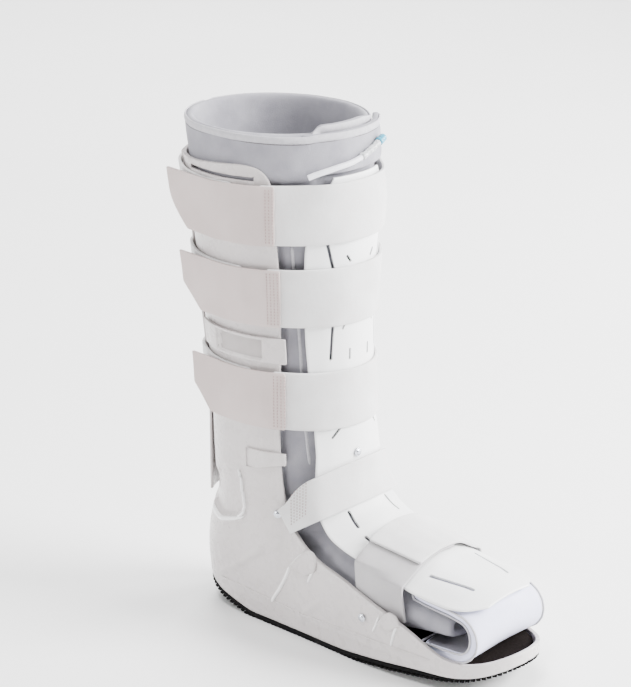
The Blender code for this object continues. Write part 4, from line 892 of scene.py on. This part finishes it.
def build_rivets():
    nodes = ("rivet_ankle_near", "rivet_ankle_far", "rivet_toe_near", "rivet_toe_far", "rivet_front")
    places, ways = [], []
    for node in nodes:
        points = read_points(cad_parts[node].data)
        middle = points.mean(axis=0)
        way = np.linalg.svd(points - middle)[2][2]
        outwards = (0.0, -1.0, 0.0) if node == "rivet_front" else (np.sign(middle[0]), 0.0, 0.0)
        way *= np.sign(way @ np.array(outwards))
        places.append(middle - way * 0.0002)
        ways.append(way)
    piece = set_on_points("rivet_heads", rivet_shape(), places, ways, finishes["bright_metal"])
    carry(piece, "bright metal", *nodes)


def build_tread():
    """Short bars round the foot of the sole."""
    loops = sharp_loops("outsole", 35.0)[:2]
    outline = even_line(min(loops, key=lambda loop: loop[:, 2].mean()), TREAD_SPACING, 0)
    ahead = np.gradient(outline, axis=0)
    ways = np.cross(ahead, (0.0, 0.0, 1.0))
    ways /= np.linalg.norm(ways, axis=1)[:, None]
    ways *= np.sign(np.sum(ways * (outline - outline.mean(axis=0)), axis=1))[:, None]
    places = outline - ways * TREAD_INSET
    places[:, 2] = np.maximum(places[:, 2] - 0.0004, TREAD_HEIGHT / 2.0 + 0.0001)
    work = bmesh.new()
    bmesh.ops.create_cube(work, size=1.0)
    bmesh.ops.scale(work, vec=(TREAD_DEPTH, TREAD_LENGTH, TREAD_HEIGHT), verts=work.verts)
    bmesh.ops.bevel(work, geom=list(work.edges), offset=0.0003, segments=2, affect="EDGES")
    mesh = bpy.data.meshes.new("tread_bar")
    work.to_mesh(mesh)
    work.free()
    carry(set_on_points("tread_bars", mesh, places, ways, finishes["black_rubber"]), "black rubber")


# Pieces

def build_straps():
    """Straps and hook tabs with soft creases and a slightly uneven face."""
    pieces = {}
    for seed, (node, finish, slot_name, crease_depth, wave_depth) in enumerate(STRAP_TABLE):
        piece = refine(node, f"{node}_cloth", finishes[finish], 3, crease=0.85)
        points, _, outer = read_shape(piece)
        creases = waves(points, 0.030, seed + 20, (1.0, 1.0, 0.18))
        move_out(piece, outer * (crease_depth * creases + wave_depth * waves(points, 0.045, seed + 40)))
        pieces[node] = carry(piece, slot_name, node)
    return pieces


def edge_gaps(points):
    """Distance from each point to the nearest edge of the shell."""
    loops = [loop for loop in sharp_loops("rear_shell") if len(loop) > 2]
    places = np.concatenate([even_line(loop, 0.0015, 0) for loop in loops])
    edges = KDTree(len(places))
    for index, place in enumerate(places):
        edges.insert(place, index)
    edges.balance()
    return np.array([edges.find(point)[2] for point in points])


def lug(name, surface, outline, finish):
    """A pair of low plates that lie on the side walls and stand up past their top edge."""
    outline = even_line(outline + outline[:1], 0.0012, 3)[:-1]
    middle = outline.mean(axis=0)
    rings = ((1.0, -0.0006), (1.0, 0.5), (0.93, 0.9), (0.84, 1.0))
    verts, faces = [], []
    for side in (-1.0, 1.0):
        first = len(verts)
        for share, above in rings:
            for y, z in middle + (outline - middle) * share:
                place, _, _, _ = surface.find_nearest(Vector((side * 0.062, y, z)))
                verts.append((side * (abs(place.x) + LUG_THICK * above), y, z))
        faces += [tuple(first + k for k in face) for face in tube_faces(len(rings), len(outline))]
    return closed_piece(name, verts, faces, finish)


def build_shell():
    """The moulded shell with its rolled edges, heel hollow, ribs and lugs."""
    plastic, highlight_finish = finishes["moulded_plastic"], finishes["highlight_painted_edge"]
    piece = refine("rear_shell", "rear_shell_fine", plastic, 3, crease=0.85)
    points, normals, outer = read_shape(piece)
    flat = points[:, 1:]
    border = ROLLED_EDGE * (1.0 - rise(0.0012, 0.0034, np.abs(edge_gaps(points) - 0.0016)))
    depth = inside_depth(flat, HEEL_HOLLOW)
    lip_gap, lip_share = distance_to(flat, HOLLOW_LIP)
    beside = rise(0.05, 0.4, np.abs(normals[:, 0])) * outer
    hollow = HOLLOW_DEPTH * rise(0.0, 0.0030 + 0.0050 * lip_share, depth)
    lip_reach = 0.0024 + 0.0036 * lip_share
    lip = LIP_SWELL * (1.0 - rise(0.3, 1.0, lip_gap / lip_reach))
    ridges = np.zeros(len(points))
    for half_width, height, route in SHELL_RIDGES:
        ridges += height * (1.0 - rise(0.0, half_width, distance_to(flat, route)[0]))
    move_out(piece, outer * border + beside * (lip - hollow + ridges))
    carry(piece, "moulded shell", "rear_shell")
    surface = surface_of(piece)
    beads = [(f"hollow_lip_{name}", half_width, LIP_HEIGHT, True, route)
             for name, half_width, route in HOLLOW_EDGES]
    beads += [(f"shell_rib_{index}", *row) for index, row in enumerate(SHELL_RIBS)]
    # Beads marked True take the pale, glossy finish: a painted highlight.
    for name, half_width, height, has_painted_highlight, route in beads:
        courses = [wall_line(surface, route, side) for side in (-1.0, 1.0)]
        carry(bead(name, courses, half_width, height, highlight_finish if has_painted_highlight else plastic), "moulded shell")
    for index, outline in enumerate(SHELL_LUGS):
        carry(lug(f"shell_lug_{index}", surface, outline, plastic), "moulded shell")


def build_keepers():
    """The long keepers' frame, pressed panel and slot, and the short ones' flared root."""
    plastic = finishes["moulded_plastic"]
    for side in ("near", "far"):
        piece = refine(f"side_keeper_{side}", f"side_keeper_{side}_fine", plastic, 4, crease=0.8)
        points, _, outer = read_shape(piece)
        y, z = points[:, 1], points[:, 2]
        low, high = z.min(), z.max()
        inset = rise(low + 0.0014, low + 0.0022, z) * (1.0 - rise(high - 0.0022, high - 0.0014, z))
        panel = rise(-0.0285, -0.0272, y) * (1.0 - rise(0.0170, 0.0182, y)) * inset
        slot = rise(0.0194, 0.0200, y) * (1.0 - rise(0.0222, 0.0228, y)) * inset
        frame_part = KEEPER_FRAME * (1.0 - rise(0.030, 0.040, y)) * (1.0 - panel) * (1.0 - slot)
        move_out(piece, outer * (frame_part - KEEPER_PANEL_DEPTH * panel - KEEPER_SLOT_DEPTH * slot))
        # Faces of the pressed panel get a darker matt finish, partly painted shade; faces of the slot get a
        # near-black painted shade.
        for index, (finish, share) in enumerate((("matt_plastic_painted_shade", panel), ("slot_painted_shade", slot)), 1):
            piece.data.materials.append(finishes[finish])
            for face in piece.data.polygons:
                corners = list(face.vertices)
                if outer[corners].min() > 0.5 and share[corners].min() > 0.4:
                    face.material_index = index
        carry(piece, "moulded shell", f"side_keeper_{side}")
        piece = refine(f"low_keeper_{side}", f"low_keeper_{side}_fine", plastic, 4, crease=0.8)
        points, _, outer = read_shape(piece)
        high, y = points[:, 2].max(), points[:, 1]
        narrow = 1.0 - 0.40 * (1.0 - rise(-0.046, -0.014, y))
        lifted = 0.0009 * (1.0 - rise(-0.034, -0.020, y)) - 0.0014 * rise(-0.022, -0.009, y)
        points[:, 0] += np.sign(points[:, 0]) * outer * lifted
        points[:, 2] = high - (high - points[:, 2]) * narrow
        write_points(piece.data, points)
        carry(piece, "moulded shell", f"low_keeper_{side}")


def panel_faces(rows, columns):
    """Faces of a closed sheet of two grids, the outer one first."""
    faces = []
    total = rows * columns
    for r in range(rows - 1):
        for c in range(columns - 1):
            a, b = r * columns + c, (r + 1) * columns + c
            faces += [(a, b, b + 1, a + 1), (total + a, total + a + 1, total + b + 1, total + b)]
    edge = [c for c in range(columns)] + [r * columns + columns - 1 for r in range(1, rows)]
    edge += [(rows - 1) * columns + c for c in range(columns - 2, -1, -1)]
    edge += [r * columns for r in range(rows - 2, 0, -1)]
    for a, b in zip(edge, edge[1:] + edge[:1]):
        faces.append((a, b, total + b, total + a))
    return faces


def fill_gaps(values):
    """Replace missing values in a grid from the others in their row, then from the rows beside."""
    columns = np.arange(values.shape[1])
    for row in values:
        known = ~np.isnan(row)
        if known.any():
            row[:] = np.interp(columns, columns[known], row[known])
    rows = np.arange(values.shape[0])
    for c in columns:
        known = ~np.isnan(values[:, c])
        values[:, c] = np.interp(rows, rows[known], values[known, c])
    return values


def panel_grid():
    """The panel's outer face on paper: grid of places, way out of each row, distance to the edges."""
    table = np.array(PANEL_TABLE)
    reach = reach_of(table[:, :2])
    ends = np.array((0.0, 0.00012, 0.0004, 0.0011))
    between = np.arange(PANEL_STEP, reach[-1] - PANEL_STEP / 2.0, PANEL_STEP)
    steps = np.concatenate((ends, between, reach[-1] - ends[::-1]))
    rows = smooth(rows_at(steps, reach, table), 3)
    centre = np.column_stack((np.zeros(len(rows)), rows[:, 0], rows[:, 1]))
    ahead = np.gradient(centre, axis=0)
    outwards = np.cross(ahead / np.linalg.norm(ahead, axis=1)[:, None], (1.0, 0.0, 0.0))
    across = np.sin(np.linspace(-math.pi / 2.0, math.pi / 2.0, PANEL_COLUMNS))
    half = rows[:, 2] * PANEL_HALF_WIDTH
    grid = centre[:, None] + half[:, None, None] * across[None, :, None] * np.array((1.0, 0.0, 0.0))
    grid -= outwards[:, None] * (rows[:, 3:] * PANEL_HALF_WIDTH * across ** 2)[..., None]
    to_end = np.minimum(steps, reach[-1] - steps)[:, None]
    to_side = (1.0 - np.abs(across))[None, :] * half[:, None]
    return grid, outwards, np.minimum(to_end, to_side)


def build_panel():
    """The flexible front panel at a fine step, laid over the solid one, with its slots cut through."""
    grid, outwards, to_edge = panel_grid()
    solid = surface_of(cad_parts["front_panel"])
    offset = np.full(grid.shape[:2], np.nan)
    for r, way in enumerate(outwards):
        for c in range(PANEL_COLUMNS):
            start = Vector(grid[r, c] + way * PANEL_PROBE)
            place, normal, _, gap = solid.ray_cast(start, Vector(-way))
            if place is not None and gap < 0.014 and abs(normal.dot(Vector(way))) > 0.3:
                offset[r, c] = PANEL_PROBE - gap
    offset = fill_gaps(offset)
    for _ in range(6):
        smooth(offset, 1)
        smooth(offset.T, 1)
    grid += outwards[:, None] * offset[..., None]
    normals = np.cross(np.gradient(grid, axis=0), np.gradient(grid, axis=1))
    normals /= np.linalg.norm(normals, axis=2)[..., None]
    normals *= np.sign(np.sum(normals * outwards[:, None], axis=2))[..., None]
    near = np.clip(to_edge / PANEL_EDGE, 0.0, 1.0)
    sink = PANEL_EDGE * (1.0 - np.sqrt(1.0 - (1.0 - near) ** 2)) * 0.97
    outer_face = grid - normals * sink[..., None]
    inner_face = grid - normals * (PANEL_THICK - sink)[..., None]
    verts = np.concatenate((outer_face.reshape(-1, 3), inner_face.reshape(-1, 3)))
    faces = panel_faces(*grid.shape[:2])
    piece = closed_piece("front_panel_fine", verts, faces, finishes["flexible_sheet"])
    cutter = slot_cutters(surface_of(piece))
    cut = piece.modifiers.new("slots", "BOOLEAN")
    cut.operation, cut.solver, cut.object = "DIFFERENCE", "EXACT", cutter
    settle(piece)
    bpy.data.objects.remove(cutter)
    piece.data.set_sharp_from_angle(angle=math.radians(45.0))
    carry(piece, "flexible panel", "front_panel")


def slot_cutters(surface):
    """Long rounded blocks for the panel's slots, on both sides of its middle."""
    verts, faces = [], []
    for start, end, width in PANEL_SLOTS:
        for side in (-1.0, 1.0):
            mirror = Vector((-side, 1.0, 1.0))
            ends = [surface.find_nearest(Vector(place) * mirror) for place in (start, end)]
            first, last = ends[0][0], ends[1][0]
            out = (ends[0][1] + ends[1][1]).normalized()
            if out.y > 0.0 and out.z < 0.5:
                out = -out
            along = (last - first).normalized()
            flank = out.cross(along).normalized()
            ring = []
            for middle, centre in ((0.0, last), (180.0, first)):
                for turn in np.radians(np.linspace(middle - 90.0, middle + 90.0, 9)):
                    way = along * math.cos(turn) + flank * math.sin(turn)
                    ring.append(centre + way * width / 2.0)
            base = len(verts)
            for height in (-0.0055, 0.0045):
                verts += [tuple(place + out * height) for place in ring]
            faces += [tuple(base + k for k in face) for face in tube_faces(2, len(ring))]
    mesh = bpy.data.meshes.new("slot_cutters")
    mesh.from_pydata(verts, [], faces)
    tidy_normals(mesh)
    return show("slot_cutters", mesh)


def build_hard_pieces():
    """The back plate, the sole and the insole, with softened edges."""
    rows = (("rear_plate", "moulded_plastic", "moulded shell"), ("outsole", "black_rubber", "black rubber"),
            ("insole", "insole_felt", "insole felt"))
    for node, finish, slot_name in rows:
        carry(refine(node, f"{node}_fine", finishes[finish], 2, crease=0.9), slot_name, node)


def radius_at(surface, turn, height):
    """How far a surface reaches from the leg's axis, or nothing where there is none."""
    place = round_the_leg(surface, turn, height)
    return None if place is None else math.hypot(place.x, place.y)


def top_heights(piece, turns):
    """The height of a piece's top edge at turns round the leg."""
    points = read_points(piece.data)
    around = leg_turn(points)
    tops = []
    for turn in turns:
        near = np.abs((around - turn + 180.0) % 360.0 - 180.0) < 2.5
        tops.append(points[near, 2].max())
    return np.array(tops)


def wrap_steps(wrap_surface, liner_surface, heights):
    """How far the wrap stands out past the liner beside its start, at each height."""
    steps = []
    for height in heights:
        out = radius_at(wrap_surface, WRAP_START - 6.0, height)
        base = radius_at(liner_surface, WRAP_START - 6.0, height)
        steps.append(max(out - base, 0.0) if out and base else np.nan)
    return fill_gaps(np.array(steps)[None, :])[0]


def shape_liner(liner, wrap):
    """Swell the liner into the wrap, sink it under the shell's edge and raise its inner corner."""
    points, normals, outer = read_shape(liner)
    heights = np.linspace(0.4095, 0.4400, 12)
    steps = wrap_steps(surface_of(wrap), surface_of(liner), heights)
    turn, z = leg_turn(points), points[:, 2]
    swell = (np.interp(z, heights, steps) + 0.0002) * (1.0 - rise(WRAP_START, WRAP_FADE, turn))
    swell *= rise(WRAP_START - 9.0, WRAP_START - 4.0, turn) * rise(0.3960, 0.4100, z) * outer
    soft = LINER_WAVES * waves(points, 0.040, 3) * (z > 0.10)
    pressed = LINER_SINK * (1.0 - rise(0.0015, 0.0055, edge_gaps(points))) * (z < 0.40)
    corner = (1.0 - rise(24.0, 31.0, turn)) * rise(-45.0, -10.0, turn) * rise(0.4260, 0.4400, z)
    away = points * (1.0, 1.0, 0.0) / np.linalg.norm(points[:, :2], axis=1)[:, None]
    moved = points + normals * (outer * (soft - pressed))[:, None] + away * swell[:, None]
    moved[:, 2] += CORNER_RISE * corner
    write_points(liner.data, moved)


def build_padding():
    """Liner, collar wrap and rolled toe flap, with their bindings."""
    knit = finishes["padded_knit"]
    wrap = refine("collar_flap", "collar_flap_padding", knit, 4, crease=0.35)
    liner = refine("liner", "liner_padding", knit, 3, crease=0.25)
    shape_liner(liner, wrap)
    points, _, outer = read_shape(wrap)
    move_out(wrap, outer * WRAP_WAVES * waves(points, 0.03, 5))
    carry(liner, "padded fabric", "liner")
    carry(wrap, "padded fabric", "collar_flap")
    flap = refine("toe_flap", "toe_flap_padding", finishes["smooth_knit"], 3, crease=0.35)
    line_and_shade_roll(flap)
    carry(flap, "padded fabric", "toe_flap")
    puff(wrap, WRAP_PUFF)
    puff(flap, ROLL_PUFF)
    build_bindings(liner, wrap)


def line_and_shade_roll(flap):
    """The darker lining, partly painted shade, on the faces that look at another turn of the roll."""
    surface = surface_of(flap)
    flap.data.materials.append(finishes["lining_knit_painted_shade"])
    for face in flap.data.polygons:
        start = face.center + face.normal * 0.0008
        if surface.ray_cast(start, face.normal, 0.050)[0] is not None:
            face.material_index = 1


def puff(piece, cap):
    """Blow a pad up a little in a cloth simulation, and keep at most a small part of the movement."""
    start, _, outer = read_shape(piece)
    cloth = piece.modifiers.new("air", "CLOTH")
    cloth.settings.quality = 4
    cloth.settings.mass = 0.2
    cloth.settings.use_pressure = True
    cloth.settings.uniform_pressure_force = PUFF_PRESSURE
    cloth.settings.effector_weights.gravity = 0.0
    cloth.settings.tension_stiffness = 25.0
    cloth.settings.compression_stiffness = 25.0
    cloth.point_cache.frame_start, cloth.point_cache.frame_end = 1, PUFF_FRAMES
    for number in range(1, PUFF_FRAMES + 1):
        bpy.context.scene.frame_set(number)
    graph = bpy.context.evaluated_depsgraph_get()
    blown = bpy.data.meshes.new_from_object(piece.evaluated_get(graph))
    move = read_points(blown) - start
    piece.modifiers.clear()
    bpy.data.meshes.remove(blown)
    bpy.context.scene.frame_set(1)
    length = np.linalg.norm(move, axis=1) + 1e-9
    write_points(piece.data, start + move * (outer * np.minimum(cap / length, 1.0))[:, None])
    piece.data.shade_smooth()


def build_bindings(liner, wrap):
    """Folded tape on the rims, and round the ends of the toe roll."""
    tape, groove_shade_finish = finishes["binding_tape"], finishes["groove_painted_shade"]
    liner_surface, wrap_surface = surface_of(liner), surface_of(wrap)
    near = np.linspace(179.0, WRAP_START - 4.0, 120)
    front = np.linspace(WRAP_START - 5.0, WRAP_END + 1.0, 70)
    far = np.linspace(WRAP_START - 4.0, -179.0, 170)
    halves = (leg_line(liner_surface, near, top_heights(liner, near) - BINDING_REACH),
              leg_line(wrap_surface, front, top_heights(wrap, front) - BINDING_REACH))
    joined = tuple(np.concatenate(parts) for parts in zip(*halves))
    courses = [joined, leg_line(liner_surface, far, top_heights(liner, far) - BINDING_REACH)]
    for places, _ in courses:
        smooth(places, 5)
    carry(bead("collar_binding", courses, BINDING_REACH, BINDING_HEIGHT, tape), "padded fabric")
    # Painted shade: a thin near-black cord under the collar's binding, for the shade in the groove there
    below = (0.0, 0.0, BINDING_REACH + 0.0003)
    groove_shade_lines = [even_line(places - below, 0.002, 2) for places, _ in courses]
    carry(piping("collar_seam", groove_shade_lines, 0.00055, groove_shade_finish), "padded fabric")
    turns, heights = np.array(LINER_BINDING).T
    fine = np.linspace(heights[0], heights[-1], 90)
    turns = np.interp(-fine, -heights, turns)
    courses = [leg_line(liner_surface, -side * turns, fine) for side in (-1.0, 1.0)]
    carry(bead("liner_binding", courses, 0.0014, 0.0007, tape), "padded fabric")
    loops = [even_line(loop, 0.0015, 3) for loop in sharp_loops("toe_flap") if len(loop) > 12]
    carry(piping("toe_flap_binding", loops, 0.0009, tape), "padded fabric")


def build_tube():
    """The inflation tube with its connector and cap."""
    curve = bpy.data.curves.new("inflation_tube", "CURVE")
    curve.dimensions = "3D"
    curve.bevel_depth = TUBE_RADIUS
    curve.bevel_resolution = 5
    curve.use_fill_caps = True
    spline = curve.splines.new("POLY")
    spline.points.add(len(TUBE_ROUTE) - 1)
    for point, place in zip(spline.points, TUBE_ROUTE):
        point.co = (*place, 1.0)
    spline.use_smooth = True
    piece = show("inflation_tube", curve)
    curve.materials.append(finishes["soft_tube"])
    carry(piece, "clear connector", "air_tube")
    connector = lathe("tube_connector_fine", CONNECTOR_ROUTE, CONNECTOR_PROFILE, finishes["clear_plastic"])
    carry(connector, "clear connector", "tube_connector")
    cap = lathe("tube_cap_fine", CAP_ROUTE, CAP_PROFILE, finishes["blue_plastic"])
    carry(cap, "blue cap", "tube_cap")


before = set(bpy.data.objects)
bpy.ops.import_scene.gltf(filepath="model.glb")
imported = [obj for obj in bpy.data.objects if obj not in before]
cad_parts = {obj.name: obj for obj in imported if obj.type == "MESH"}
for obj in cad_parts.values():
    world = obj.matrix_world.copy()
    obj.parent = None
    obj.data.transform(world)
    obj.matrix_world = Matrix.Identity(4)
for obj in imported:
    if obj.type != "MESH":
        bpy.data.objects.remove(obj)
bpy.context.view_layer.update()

build_camera()
finishes = {name: make_finish(name) for name in FINISH_TABLE}
build_studio()
build_tube()
straps = build_straps()
build_shell()
build_keepers()
build_panel()
build_hard_pieces()
build_tread()
build_padding()
build_rivets()
build_stitches(straps)
